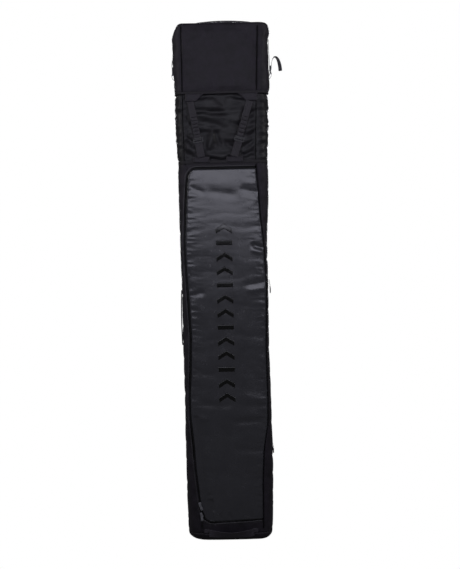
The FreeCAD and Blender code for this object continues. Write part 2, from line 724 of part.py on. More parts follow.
LOCK_PIVOT = 1697.0
LOCK_FACE = 174.0
for side, sign in (("left", -1), ("right", 1)):
    near, far = (f"{LOCK_FACE}", f"{LOCK_FACE}+8.6") if sign > 0 else (f"-{LOCK_FACE}-8.6", f"-{LOCK_FACE}")
    tall = (f"{LOCK_PIVOT}-18", f"{LOCK_PIVOT}+5.4")
    block = box(f"{side}_anchor_block", (near, far), ("-webbing/2", "webbing/2"), tall)
    clear = box(
        f"{side}_anchor_clear",
        (f"{sign * (LOCK_FACE + 4.8)}-3.2", f"{sign * (LOCK_FACE + 4.8)}+3.2"),
        ("-30", "30"),
        (f"{LOCK_PIVOT}-3", f"{LOCK_PIVOT}+3"),
    )
    sub_part(cut(f"{side}_anchor_loop", block, clear), f"{side}_anchor_loop")
    lock = ladder_lock(f"{side}_lock")
    lock.Placement = Placement(Vector(sign * (LOCK_FACE + 4.8), 0, LOCK_PIVOT), Rotation())
    sub_part(lock, f"{side}_ladder_lock")
    strap = box(
        f"{side}_side_strap",
        (f"{sign * (LOCK_FACE + 1.0)}-0.7", f"{sign * (LOCK_FACE + 1.0)}+0.7"),
        ("-webbing/2+1", "webbing/2-1"),
        (f"{LOCK_PIVOT}+8", "hood_shoulder-4"),
    )
    sub_part(strap, f"{side}_side_strap")


def strap_tail():
    """The free end of the hinge-side strap: out of the lock, over the top of an arc, and down."""
    thick, width = 1.4, size("webbing") - 9
    start = Vector(LOCK_FACE + 8.2, 0, LOCK_PIVOT + 24)
    points = [start, Vector(LOCK_FACE + 12, 0, LOCK_PIVOT + 48), Vector(LOCK_FACE + 24, 0, LOCK_PIVOT + 62)]
    points += [Vector(LOCK_FACE + 36, 0, LOCK_PIVOT + 44), Vector(LOCK_FACE + 42, 0, LOCK_PIVOT + 8)]
    rising = Part.Arc(points[0], points[1], points[2]).toShape()
    falling = Part.Arc(points[2], points[3], points[4]).toShape()
    strip = Part.Wire([rising, falling]).extrude(Vector(0, width, 0))
    solid = strip.makeOffsetShape(thick, 0.01, fill=True)
    solid.translate(Vector(0, -width / 2, 0))
    item = doc.addObject("Part::Feature", "strap_tail")
    item.Shape = solid
    return item


sub_part(strap_tail(), "right_strap_tail")

# ---------------------------------------------------------------- zip sliders and pulls


def slider(name, door_side):
    """A zip slider in its own axes: it runs along Z and faces -Y. door_side is 1 if the door lies at +X."""
    body = doc.addObject("PartDesign::Body", name)
    planes = {f.Role: f for f in body.Origin.OriginFeatures}
    plate = body.newObject("Sketcher::SketchObject", f"{name}_plate")
    plate.AttachmentSupport, plate.MapMode = (planes["XZ_Plane"], ""), "FlatFace"
    wide, long = size("slider_width") / 2, size("slider_length") / 2
    spots = [(-wide * 0.6, -long), (wide * 0.6, -long), (wide, long * 0.55), (wide * 0.75, long)]
    spots += [(-wide * 0.75, long), (-wide, long * 0.55)]
    count = len(spots)
    for i in range(count):
        plate.addGeometry(Part.LineSegment(Vector(*spots[i], 0), Vector(*spots[(i + 1) % count], 0)))
    for i in range(count):
        plate.addConstraint(Sketcher.Constraint("Coincident", i, 2, (i + 1) % count, 1))
    pad = body.newObject("PartDesign::Pad", f"{name}_pad")
    pad.Profile = plate
    pad.setExpression("Length", ex("slider_thick"))
    doc.recompute()
    bail = body.newObject("Sketcher::SketchObject", f"{name}_bail")
    bail.AttachmentSupport, bail.MapMode = (planes["YZ_Plane"], ""), "FlatFace"
    depth = size("slider_thick")
    rim = [(-depth + 0.5, -5.5), (-depth + 0.5, 5.5), (-depth - 3.4, 5.5), (-depth - 3.4, -5.5)]
    hole = [(-depth - 0.2, -3.2), (-depth - 0.2, 3.2), (-depth - 2.2, 3.2), (-depth - 2.2, -3.2)]
    for ring in (rim, hole):
        first = bail.GeometryCount
        for i in range(4):
            bail.addGeometry(Part.LineSegment(Vector(*ring[i], 0), Vector(*ring[(i + 1) % 4], 0)))
        for i in range(4):
            bail.addConstraint(Sketcher.Constraint("Coincident", first + i, 2, first + (i + 1) % 4, 1))
    bridge = body.newObject("PartDesign::Pad", f"{name}_bridge")
    bridge.Profile = bail
    bridge.Midplane = True
    bridge.Length = 2.4
    doc.recompute()
    # The divider passes between the two tapes, and the inner plate lies behind the door's tape.
    keel = body.newObject("Sketcher::SketchObject", f"{name}_keel")
    keel.AttachmentSupport, keel.MapMode = (planes["XY_Plane"], ""), "FlatFace"
    rim = [(-0.3, -0.5), (0.3, -0.5), (0.3, 3.7), (4.6, 3.7), (4.6, 4.8), (-0.3, 4.8)]
    spots = [Vector(x * door_side, y, 0) for x, y in rim]
    for i in range(len(spots)):
        keel.addGeometry(Part.LineSegment(spots[i], spots[(i + 1) % len(spots)]))
    for i in range(len(spots)):
        keel.addConstraint(Sketcher.Constraint("Coincident", i, 2, (i + 1) % len(spots), 1))
    divider = body.newObject("PartDesign::Pad", f"{name}_divider")
    divider.Profile = keel
    divider.Midplane = True
    divider.Length = 11
    doc.recompute()
    return body


def pull_tab(name):
    """A stamped pull in its own axes: it hangs from a ring at the origin, down -Z, facing -Y."""
    outer = doc.addObject("Part::Box", f"{name}_strip")
    outer.Length, outer.Width = 8.4, 1.4
    bind(outer, Height="pull_length")
    outer.Placement = Placement(Vector(-4.2, -0.7, -size("pull_length") + 2.2), Rotation())
    slot = doc.addObject("Part::Box", f"{name}_slot")
    slot.Length, slot.Width, slot.Height = 5.6, 4, 5.8
    slot.Placement = Placement(Vector(-2.8, -2, -4.8), Rotation())
    eye = doc.addObject("Part::Cylinder", f"{name}_eye")
    eye.Radius, eye.Height = 1.5, 4
    eye.Placement = Placement(Vector(0, 2, -size("pull_length") + 5.4), Rotation(Vector(1, 0, 0), 90))
    return cut(name, outer, fuse(f"{name}_holes", slot, eye))


def cord_grip(name):
    """A doubled cord with a moulded grip, hanging from the pull's eye down -Z."""
    top = -size("pull_length") + 5.4
    shaft = doc.addObject("Part::Cylinder", f"{name}_shaft")
    shaft.Radius = 1.2
    bind(shaft, Height="cord_grip_length")
    shaft.Placement = Placement(Vector(0, 0, top - size("cord_grip_length")), Rotation())
    knob = doc.addObject("Part::Cylinder", f"{name}_knob")
    knob.Radius, knob.Height = 2.2, 12
    knob.Placement = Placement(Vector(0, 0, top - size("cord_grip_length") - 8), Rotation())
    return fuse(name, shaft, knob)


foot_centre = Vector(-size("foot_corner_across"), 0, size("foot_corner_height"))
low_left = Vector(-size("door_low_left"), 0, size("door_low_height"))
touch = tangent_touch(
    Vector(low_left.x, low_left.z, 0), Vector(foot_centre.x, foot_centre.z, 0), size("foot_corner_radius"), -1
)
run = Vector(low_left.x - touch.x, 0, low_left.z - touch.y).normalize()
outward = Vector(-run.z, 0, run.x)
coil_line = size("tape_width") + size("coil_gap") / 2
# The upper slider runs up the straight side of the zip, the lower one round the corner at the door's foot.
corner_angle = math.radians(198)
corner_reach = size("foot_corner_radius") + coil_line
SLIDERS = {
    "upper": {
        "at": Vector(touch.x, 0, touch.y) + outward * coil_line + run * 28,
        "lean": math.degrees(math.atan2(run.x, run.z)),
        "door_side": 1,
        "pull": -21,
        "hang": -2.0,
    },
    "lower": {
        "at": foot_centre + Vector(math.cos(corner_angle), 0, math.sin(corner_angle)) * corner_reach,
        "lean": math.degrees(math.atan2(-math.sin(corner_angle), math.cos(corner_angle))),
        "door_side": -1,
        "pull": -2,
        "hang": 2.0,
    },
}
SLIDER_BACK = size(FRONT) - 0.1
for level, spot in SLIDERS.items():
    at = Vector(spot["at"].x, SLIDER_BACK, spot["at"].z)
    turn = Rotation(Vector(0, 1, 0), spot["lean"])
    item = slider(f"{level}_slider", spot["door_side"])
    item.Placement = Placement(at, turn)
    sub_part(item, f"{level}_slider")
    hang = at + Vector(0, -size("slider_thick") - 1.2, 0) + turn.multVec(Vector(0, 0, spot["hang"]))
    tab = pull_tab(f"{level}_pull")
    tab.Placement = Placement(hang, Rotation(Vector(0, 1, 0), spot["pull"]))
    sub_part(tab, f"{level}_pull")
    grip = cord_grip(f"{level}_pull_cord")
    grip.Placement = tab.Placement
    sub_part(grip, f"{level}_pull_cord")

# ---------------------------------------------------------------- inside: straps that hold the skis

for level, height in (("upper", 1130), ("lower", 420)):
    inner_back = "bag_depth/2-wall-0.2"
    sewn_half = box(
        f"{level}_ski_strap_left",
        ("-118", "22"),
        (f"{inner_back}-1.8", inner_back),
        (f"{height}-webbing/2", f"{height}+webbing/2"),
    )
    sub_part(sewn_half, f"{level}_ski_strap_left")
    free_half = box(
        f"{level}_ski_strap_right",
        ("-30", "118"),
        (f"{inner_back}-3.8", f"{inner_back}-2"),
        (f"{height}-webbing/2", f"{height}+webbing/2"),
    )
    sub_part(free_half, f"{level}_ski_strap_right")

# ---------------------------------------------------------------- check and write

doc.recompute()
faults = []
for item in doc.Objects:
    if any(word in item.State for word in ("Invalid", "Error")):
        faults.append(f"{item.Name}: {item.State}")
for item in SUB_PARTS:
    shape = item.Shape
    if shape.isNull() or not shape.isValid() or not shape.Solids or shape.Volume <= 0:
        faults.append(f"{item.Label}: bad shape")
if faults:
    raise SystemExit("\n".join(faults))
os.makedirs("parts", exist_ok=True)
for old in os.listdir("parts"):
    os.remove(os.path.join("parts", old))
for item in SUB_PARTS:
    item.Shape.exportStep(os.path.join("parts", f"{item.Label}.step"))
print(len(SUB_PARTS), "sub-parts written")
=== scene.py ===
import math

import bmesh
import bpy
import numpy as np
from mathutils import Matrix, Vector, noise
from mathutils.bvhtree import BVHTree


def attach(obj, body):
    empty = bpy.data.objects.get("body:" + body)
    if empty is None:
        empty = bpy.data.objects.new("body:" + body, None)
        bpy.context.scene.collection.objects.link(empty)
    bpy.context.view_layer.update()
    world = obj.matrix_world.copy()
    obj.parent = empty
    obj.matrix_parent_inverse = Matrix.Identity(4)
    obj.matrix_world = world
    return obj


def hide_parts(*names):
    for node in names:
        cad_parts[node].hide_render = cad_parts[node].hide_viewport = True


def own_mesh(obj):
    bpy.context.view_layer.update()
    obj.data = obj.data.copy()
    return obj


# A padded ski bag standing on its base: the soft shell, the door and its zip, the straps and handles of
# webbing, and the small hardware. Shapes are worked out in millimetres and written to meshes in metres.

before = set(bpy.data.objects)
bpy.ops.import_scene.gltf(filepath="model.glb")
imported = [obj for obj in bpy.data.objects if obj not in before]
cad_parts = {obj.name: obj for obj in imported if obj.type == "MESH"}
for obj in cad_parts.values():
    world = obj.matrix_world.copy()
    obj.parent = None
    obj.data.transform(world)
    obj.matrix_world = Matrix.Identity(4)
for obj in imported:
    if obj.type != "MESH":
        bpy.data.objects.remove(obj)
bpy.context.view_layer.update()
MM = 0.001

# -------- materials


def linear(red, green, blue):
    """A colour as the shader wants it, from the usual 0-255 values."""
    return tuple(((c / 255) ** 2.2) for c in (red, green, blue)) + (1.0,)


class Nodes:
    """A short way to write a material's node tree."""

    def __init__(self, name):
        self.material = bpy.data.materials.new(name)
        self.material.use_nodes = True
        self.tree = self.material.node_tree
        self.shader = self.tree.nodes["Principled BSDF"]

    def add(self, kind, settings=None, **inputs):
        node = self.tree.nodes.new(kind)
        for key, value in (settings or {}).items():
            setattr(node, key, value)
        for key, value in inputs.items():
            self.put(node.inputs[key], value)
        return node

    def put(self, socket, value):
        if isinstance(value, bpy.types.NodeSocket):
            self.tree.links.new(value, socket)
        else:
            socket.default_value = value

    def coords(self, kind="Object", scale=(1, 1, 1)):
        where = self.add("ShaderNodeTexCoord")
        mapping = self.add("ShaderNodeMapping", Vector=where.outputs[kind])
        mapping.inputs["Scale"].default_value = scale
        return mapping.outputs[0]

    def noise(self, at, scale, detail=3.0, rough=0.55):
        node = self.add("ShaderNodeTexNoise", Vector=at, Scale=scale, Detail=detail, Roughness=rough)
        return node.outputs["Fac"]

    def wave(self, at, scale, direction="X", distortion=0.0):
        settings = {"wave_type": "BANDS", "bands_direction": direction, "wave_profile": "SIN"}
        node = self.add("ShaderNodeTexWave", settings, Vector=at, Scale=scale, Distortion=distortion)
        return node.outputs["Fac"]

    def math(self, operation, a, b):
        node = self.add("ShaderNodeMath", {"operation": operation})
        self.put(node.inputs[0], a)
        self.put(node.inputs[1], b)
        return node.outputs[0]

    def ramp(self, value, start, end):
        """A blend between two (position, colour) stops."""
        node = self.add("ShaderNodeValToRGB", Fac=value)
        for element, (position, color) in zip(node.color_ramp.elements, (start, end)):
            element.position, element.color = position, color
        return node.outputs["Color"]

    def bumps(self, layers):
        """Stacks (height, strength, distance) layers and plugs them into the shader's normal."""
        normal = None
        for height, strength, distance in layers:
            node = self.add("ShaderNodeBump", Height=height, Strength=strength, Distance=distance)
            if normal:
                self.tree.links.new(normal, node.inputs["Normal"])
            normal = node.outputs["Normal"]
        self.tree.links.new(normal, self.shader.inputs["Normal"])

    def shade(self, **values):
        for name, value in values.items():
            self.put(self.shader.inputs[name.replace("_", " ")], value)


def grey(level):
    return (level, level, level, 1.0)


def scaled(color, factor):
    """The same colour, brighter or darker."""
    return tuple(min(1.0, c * factor) for c in color[:3]) + (1.0,)


def cloth_material(name, color, rough, specular, thread=0.9, weave=0.25, mottle=0.25):
    """Plain-woven coated cloth: crossing threads, cloudy wear, and small paler slubs scattered over it."""
    n = Nodes(name)
    at = n.coords()
    density = 1000 / thread
    across = n.wave(at, density / 2, "X", 0.4)
    along = n.wave(at, density / 2, "Z", 0.4)
    threads = n.math("MULTIPLY", n.math("ADD", across, along), 0.5)
    cloudy = n.noise(at, 26.0, 5.0)
    slubs = n.noise(at, 260.0, 2.0)
    shade = n.ramp(cloudy, (0.3, scaled(color, 1 - mottle)), (0.7, scaled(color, 1 + mottle)))
    mix = n.add("ShaderNodeMix", {"data_type": "RGBA"}, Factor=n.math("MULTIPLY", slubs, 0.35))
    n.put(mix.inputs[6], shade)
    n.put(mix.inputs[7], scaled(color, 1.35))
    n.shade(Base_Color=mix.outputs[2])
    n.shade(Roughness=n.ramp(cloudy, (0.25, grey(rough - 0.06)), (0.75, grey(min(1.0, rough + 0.06)))))
    n.shader.inputs["Specular IOR Level"].default_value = specular
    n.bumps([(threads, weave, 0.0002), (slubs, 0.12, 0.0003), (n.noise(at, 45.0, 3.0), 0.10, 0.0015)])
    return n.material


def webbing_material(name, color, rib=2.1):
    """Woven strap: ribs across the strap, fine threads along it, and slightly paler worn spots."""
    n = Nodes(name)
    at = n.coords("UV")
    ribs = n.wave(at, 1000 / rib / 2, "X", 0.15)
    threads = n.wave(at, 1000 / 0.9 / 2, "Y", 0.1)
    herringbone = n.math("MULTIPLY", n.math("ADD", ribs, threads), 0.5)
    cloudy = n.noise(n.coords(), 30.0, 4.0)
    worn = n.math("MULTIPLY", herringbone, n.math("ADD", cloudy, 0.5))
    n.shade(Base_Color=n.ramp(worn, (0.15, scaled(color, 0.72)), (0.7, scaled(color, 1.4))))
    n.shader.inputs["Roughness"].default_value = 0.62
    n.shader.inputs["Specular IOR Level"].default_value = 0.25
    n.bumps([(ribs, 0.5, 0.0005), (threads, 0.3, 0.0002), (cloudy, 0.1, 0.001)])
    return n.material


def moulded_material(name, color, rough, metal=0.0, grain=0.15):
    """Moulded plastic or plated metal: fine grain, handling scuffs and paler rubbed spots."""
    n = Nodes(name)
    scuffs = n.noise(n.coords(scale=(1, 1, 5)), 160.0, 4.0, 0.7)
    fine = n.noise(n.coords(), 900.0, 2.0)
    n.shade(Base_Color=n.ramp(scuffs, (0.55, color), (0.8, scaled(color, 1.8))))
    smooth, dull = grey(max(0.05, rough - 0.1)), grey(min(1.0, rough + 0.12))
    n.shade(Roughness=n.ramp(scuffs, (0.3, smooth), (0.7, dull)))
    n.shader.inputs["Metallic"].default_value = metal
    n.bumps([(fine, grain, 0.0002), (scuffs, 0.06, 0.0004)])
    return n.material


BLACK = linear(35, 32, 38)
FABRIC = cloth_material("black_cloth", BLACK, 0.6, 0.22, mottle=0.5)
SLEEVE = cloth_material("thin_black_cloth", linear(26, 25, 28), 0.5, 0.26, thread=0.7)
HEM = cloth_material("hem_cloth", linear(33, 31, 34), 0.6, 0.22)
PATCH = cloth_material("patch_cloth", linear(40, 37, 43), 0.6, 0.25)
DOOR = cloth_material("door_cloth", linear(51, 51, 55), 0.24, 0.5, thread=0.6, weave=0.1, mottle=0.06)
LINING = cloth_material("lining_cloth", linear(58, 58, 64), 0.7, 0.2, thread=0.7)
# Near-black: the seam piping, and also painted shade where the daisy-chain tacks use it.
PIPING_AND_SHADE = cloth_material("piping_and_shade_cloth", linear(9, 9, 10), 0.7, 0.12, thread=0.7)
WEBBING = webbing_material("webbing", linear(50, 48, 52))
GRIP_WEBBING = webbing_material("grip_webbing", linear(54, 51, 57), rib=2.6)
ZIP_TAPE = cloth_material("zip_tape_cloth", linear(40, 38, 42), 0.5, 0.35, thread=0.5)
COIL = cloth_material("zip_coil_cloth", linear(10, 10, 11), 0.6, 0.2, thread=0.5)
THREAD = cloth_material("sewing_thread", linear(50, 48, 51), 0.6, 0.3, thread=0.3)
FILM = moulded_material("gloss_film", linear(8, 8, 10), 0.12, grain=0.02)
PLASTIC = moulded_material("black_plastic", linear(22, 22, 24), 0.42)
DARK_METAL = moulded_material("black_lacquer", linear(16, 16, 18), 0.42, metal=0.2, grain=0.05)
ZIP_METAL = moulded_material("gunmetal", linear(150, 150, 158), 0.34, metal=1.0, grain=0.05)
BOARD = moulded_material("base_board", linear(60, 60, 62), 0.55)

# -------- mesh helpers


def shade_smooth(mesh):
    mesh.polygons.foreach_set("use_smooth", [True] * len(mesh.polygons))


def new_piece(name, points, faces, material, body=None, replaces=None, uvs=None):
    """A mesh object from points in millimetres, riding on a body and standing for a node of the part."""
    mesh = bpy.data.meshes.new(name)
    mesh.from_pydata([tuple(c * MM for c in p) for p in points], [], [tuple(f) for f in faces])
    if uvs is not None:
        layer = mesh.uv_layers.new(name="UVMap")
        flat = np.asarray(uvs, dtype=np.float32)[[v for f in faces for v in f]] * MM
        layer.data.foreach_set("uv", flat.ravel())
    mesh.validate()
    mesh.update()
    shade_smooth(mesh)
    piece = bpy.data.objects.new(name, mesh)
    bpy.context.collection.objects.link(piece)
    mesh.materials.append(material)
    finish_piece(piece, body, replaces)
    return piece


def finish_piece(piece, body, replaces):
    if body:
        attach(piece, body)
    if replaces:
        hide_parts(replaces)


def thicken(piece, millimetres):
    """Gives a sheet its thickness, on the inner side of its faces."""
    modifier = piece.modifiers.new("solidify", "SOLIDIFY")
    modifier.thickness = millimetres * MM
    modifier.offset = -1.0
    modifier.use_even_offset = False
    graph = bpy.context.evaluated_depsgraph_get()
    thick_mesh = bpy.data.meshes.new_from_object(piece.evaluated_get(graph))
    thin_mesh = piece.data
    piece.modifiers.clear()
    piece.data = thick_mesh
    bpy.data.meshes.remove(thin_mesh)
    shade_smooth(thick_mesh)


def shorten(piece):
    """Gives a piece a mesh of its own."""
    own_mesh(piece)


def grid_faces(rows, columns, closed=False):
    """The quads of a grid of points; a closed grid joins its last column to its first."""
    faces = []
    for j in range(rows - 1):
        for i in range(columns if closed else columns - 1):
            a, b = j * columns + i, j * columns + (i + 1) % columns
            faces.append((a, b, b + columns, a + columns))
    return faces


def unit(vectors):
    vectors = np.asarray(vectors, dtype=float)
    return vectors / np.maximum(np.linalg.norm(vectors, axis=-1, keepdims=True), 1e-9)


def sweep(centres, across, outward, profile, closed=False):
    """Points, faces and UVs of a profile of (across, outward) offsets carried along a line of centres."""
    centres = np.asarray(centres, dtype=float)
    across, outward = unit(across), unit(outward)
    profile = np.asarray(profile, dtype=float)
    rows, ring = len(centres), len(profile)
    sideways, upward = profile[None, :, :1], profile[None, :, 1:]
    points = centres[:, None] + across[:, None] * sideways + outward[:, None] * upward
    points = points.reshape(-1, 3)
    faces = []
    last = rows if closed else rows - 1
    for j in range(last):
        k = (j + 1) % rows
        for i in range(ring):
            h = (i + 1) % ring
            faces.append((j * ring + i, j * ring + h, k * ring + h, k * ring + i))
    if not closed:
        faces.append(tuple(range(ring))[::-1])
        faces.append(tuple((rows - 1) * ring + i for i in range(ring)))
    runs = distances(centres)
    girth = profile[:, 0] - profile[:, 0].min()
    uvs = np.stack([np.repeat(runs, ring), np.tile(girth, rows)], axis=1)
    return points, faces, uvs


def band_profile(width, thick):
    """A flat strap's section: rounded edges and a slightly thicker selvedge on each side."""
    w, t = width / 2, thick
    ridge = min(1.6, w * 0.3)
    half = [(-w, t * 0.45), (-w + 0.35, t * 0.95), (-w + ridge, t * 1.08), (-w + 2 * ridge, t)]
    top = half + [(-x, y) for x, y in half[::-1]]
    bottom = [(w - 0.35, 0.0), (-w + 0.35, 0.0)]
    return (top + bottom)[::-1]


def round_profile(radius, sides=10):
    steps = [2 * math.pi * i / sides for i in range(sides)]
    return [(radius * math.cos(a), radius * math.sin(a)) for a in steps][::-1]


def distances(points):
    """How far along a line each of its points lies."""
    return np.concatenate([[0], np.cumsum(np.linalg.norm(np.diff(points, axis=0), axis=1))])


def resampled(values, runs, marks):
    return np.stack([np.interp(marks, runs, values[:, k]) for k in range(values.shape[1])], axis=1)


def spaced(points, step):
    """The same line, resampled at an even step."""
    points = np.asarray(points, dtype=float)
    runs = distances(points)
    count = max(2, int(round(runs[-1] / step)) + 1)
    return resampled(points, runs, np.linspace(0, runs[-1], count))


def hanning(reach):
    window = np.hanning(2 * reach + 3)[1:-1]
    return window / window.sum()


def smoothed(values, reach):
    """A running mean over neighbours, ends held."""
    values = np.asarray(values, dtype=float)
    window = hanning(reach)
    padded = np.pad(values, [(reach, reach)] + [(0, 0)] * (values.ndim - 1), mode="edge")
    if values.ndim == 1:
        return np.convolve(padded, window, "valid")
    return np.stack([np.convolve(padded[:, k], window, "valid") for k in range(values.shape[1])], axis=1)


def headings(points, closed=False):
    points = np.asarray(points, dtype=float)
    if closed:
        return unit(np.roll(points, -1, axis=0) - np.roll(points, 1, axis=0))
    return unit(np.gradient(points, axis=0))


# -------- the bag's form

TOP = 1880.0
SLEEVE_LOW, SLEEVE_HIGH = 1372.0, 1624.0
DOOR_FOOT, DOOR_TOP = 70, 1350.0
BASE_ROUND = 27.0
TOP_ROUND = 9.0
BODY_HEM, HOOD_LOW = SLEEVE_LOW + 4, SLEEVE_HIGH - 2


class Profile:
    """A size that changes smoothly with height, from a few (height, value) marks."""

    def __init__(self, marks, blur=40.0):
        self.z = np.arange(-60.0, TOP + 60.0, 4.0)
        heights, values = zip(*marks)
        raw = np.interp(self.z, heights, values)
        self.values = smoothed(raw, max(1, int(blur / 4)))

    def __call__(self, z):
        return np.interp(z, self.z, self.values)


LEFT_EDGE = Profile(
    [(0, 152), (220, 156), (480, 156), (690, 159), (920, 159), (1080, 163), (1360, 165), (1480, 170),
     (1600, 172), (1665, 171), (1700, 174), (1760, 175), (1800, 174), (1826, 178), (1845, 174),
     (1880, 159)], 12
)
RIGHT_EDGE = Profile(
    [(0, 152), (260, 159), (480, 156), (690, 152), (920, 154), (1090, 153), (1250, 161), (1400, 163),
     (1520, 166), (1620, 168), (1650, 171), (1690, 172), (1730, 169), (1800, 171), (1824, 170), (1842, 176),
     (1866, 174), (1880, 168)], 12
)
LEFT_SEAM = Profile(
    [(0, 98), (100, 103), (265, 121), (350, 126), (450, 136), (530, 137), (610, 132), (740, 128), (850, 133),
     (970, 141), (1080, 145), (1250, 136), (1345, 129), (1375, 142), (1620, 144), (1880, 145)], 20
)
RIGHT_SEAM = Profile(
    [(0, 119), (220, 121), (325, 127), (365, 133), (420, 143), (510, 145), (700, 142), (930, 148),
     (1090, 140), (1180, 130), (1290, 123), (1372, 117), (1620, 124), (1880, 133)], 20
)
BACK_SEAM = Profile([(0, 118), (300, 134), (1200, 138), (1880, 138)])
HALF_DEPTH = Profile(
    [(0, 61), (60, 63), (1100, 63), (1350, 62), (1400, 60.5), (1590, 60.5), (1650, 63), (1760, 61),
     (1880, 55)], 24
)

# The shell's columns run round the bag from the front's left seam. A, B, C and D are its four seams, and E is
# where A comes round again.
FRONT_COUNT, SIDE_COUNT = 46, 14
A, B = 0, FRONT_COUNT
C, D = FRONT_COUNT + SIDE_COUNT, 2 * FRONT_COUNT + SIDE_COUNT
E = 2 * (FRONT_COUNT + SIDE_COUNT)
FRONT, REAR = slice(A, B), slice(C, D)
ROW_STEP = 7.0


def perlin(x, z, wide, tall, seed):
    """Smooth noise between -1 and 1 whose features are wide by tall millimetres."""
    flat = zip(np.ravel(x / wide), np.ravel(z / tall))
    values = [noise.noise(Vector((a, b, seed))) for a, b in flat]
    return np.clip(np.array(values).reshape(np.shape(x)) * 1.6, -1, 1)


def creases(x, z, wide, tall, seed):
    """Noise with sharp valleys between rounded folds, as thin cloth has; about -0.5 to 0.5."""
    return np.abs(perlin(x, z, wide, tall, seed)) ** 0.8 - 0.4


def bell(value, middle, reach):
    return np.exp(-(((value - middle) / reach) ** 2))


def between(z, low, high, blend):
    """1 between two heights and 0 beyond them, with a blend inside each end."""
    return np.clip((z - low) / blend, 0, 1) * np.clip((high - z) / blend, 0, 1)


def fold(x, z, start, end, reach, height):
    """One fold along a line from start to end (x, z): a ridge if height is positive, a crease if negative."""
    (x0, z0), (x1, z1) = start, end
    length = math.hypot(x1 - x0, z1 - z0)
    ux, uz = (x1 - x0) / length, (z1 - z0) / length
    along = (x - x0) * ux + (z - z0) * uz
    off = (x - x0) * -uz + (z - z0) * ux
    taper = np.clip(np.minimum(along, length - along) / (0.3 * length) + 0.4, 0, 1)
    return height * taper * np.exp(-((off / reach) ** 2))


# Folds of the front, as (start, end, reach, height) in millimetres from the bag's middle line and its base.
SLEEVE_FOLDS = [
    ((-105, 1562), (10, 1552), 9, -9), ((-98, 1545), (20, 1536), 10, 4), ((-96, 1522), (-10, 1512), 9, -3),
    ((-95, 1500), (-20, 1494), 9, 4), ((-88, 1478), (-45, 1492), 8, -3), ((-52, 1425), (-32, 1492), 9, 9),
    ((-32, 1492), (-8, 1430), 8, -8), ((-20, 1590), (80, 1575), 10, -5), ((20, 1520), (75, 1500), 8, -6),
    ((85, 1570), (50, 1430), 9, -10), ((5, 1450), (40, 1420), 8, -5), ((-60, 1400), (15, 1396), 9, 6),
    ((-140, 1540), (-112, 1500), 8, -7), ((-138, 1470), (-104, 1440), 8, -7),
    ((-135, 1430), (-95, 1405), 8, 5),
    ((118, 1560), (85, 1520), 8, -7), ((118, 1500), (80, 1478), 8, 6), ((116, 1450), (70, 1425), 8, -7),
    ((112, 1410), (60, 1392), 8, -6), ((-130, 1605), (-60, 1612), 7, -5), ((40, 1612), (110, 1600), 7, -5),
]
DOOR_FOLDS = [
    ((98, 1072), (142, 1056), 9, -8), ((96, 1052), (140, 1040), 8, 5), ((60, 1275), (125, 1262), 13, -5),
    ((-60, 1268), (40, 1255), 16, -4), ((-120, 1285), (-70, 1262), 10, -4), ((40, 520), (140, 508), 14, 6),
    ((-20, 470), (120, 452), 18, 5), ((20, 430), (138, 436), 12, -5), ((-110, 500), (10, 486), 14, -4),
    ((70, 925), (145, 940), 12, -4), ((80, 905), (143, 912), 10, 4), ((-130, 890), (-80, 902), 10, -4),
    ((-128, 452), (-70, 440), 10, 4), ((-35, 100), (-30, 68), 6, -4), ((-18, 98), (-15, 68), 5, 3),
    ((0, 98), (4, 68), 6, -4), ((30, 330), (125, 322), 12, -3), ((-120, 620), (-40, 600), 16, -3),
]


def front_relief(x, z, left, right):
    """How far the front stands out of its plain form, in millimetres."""
    span = np.clip((x + left) / (left + right), 0, 1)
    rim = np.minimum(span, 1 - span) * (left + right)
    sleeve = between(z, SLEEVE_LOW, SLEEVE_HIGH, 18)
    door = between(z, DOOR_FOOT - 4, DOOR_TOP + 6, 14)
    hood = np.clip((z - SLEEVE_HIGH) / 12, 0, 1)
    out = 3.5 * (1 - (2 * span - 1) ** 4) * (1 - 0.8 * sleeve)
    # The thin sleeve: crowded horizontal folds.
    out += sleeve * (4.4 * creases(x, z, 75, 20, 3.1) + 5.0 * perlin(x, z, 95, 40, 7.7) - 3.5)
    for start, end, reach, height in SLEEVE_FOLDS:
        out += sleeve * fold(x, z, start, end, reach, 0.95 * height)
    # The door: puckers that start at its sewn edges, and long shallow folds.
    puckers = creases(x, z, 60, 13, 11.3) * np.exp(-rim / 26)
    busy = 0.45 + 0.55 * np.clip(perlin(x * 0, z, 1, 160, 2.2) + 0.6, 0, 1)
    broad = 1.5 * perlin(x, z, 190, 120, 5.5) + 0.35 * creases(x, z, 130, 44, 9.2)
    out += door * (2.1 * puckers * busy + broad)
    for start, end, reach, height in DOOR_FOLDS:
        out += door * fold(x, z, start, end, reach, 0.5 * height)
    out += hood * (2.8 * perlin(x, z, 110, 90, 4.4) + 1.2 * np.exp(-rim / 22) * creases(x, z, 60, 26, 6.1))
    return out


def side_relief(turn, z, seed):
    """Folds of a side gusset; turn runs from -1 at its front seam to 1 at its back seam."""
    sleeve = between(z, SLEEVE_LOW, SLEEVE_HIGH, 14)
    hood = np.clip((z - SLEEVE_HIGH) / 12, 0, 1)
    around = turn * 60
    out = sleeve * (5.5 * creases(around, z, 60, 17, seed) - 1.0)
    out += hood * 2.6 * creases(around, z, 70, 30, seed + 2.5)
    out += (1 - sleeve - hood) * 1.1 * creases(around, z, 70, 60, seed + 5.1)
    return out


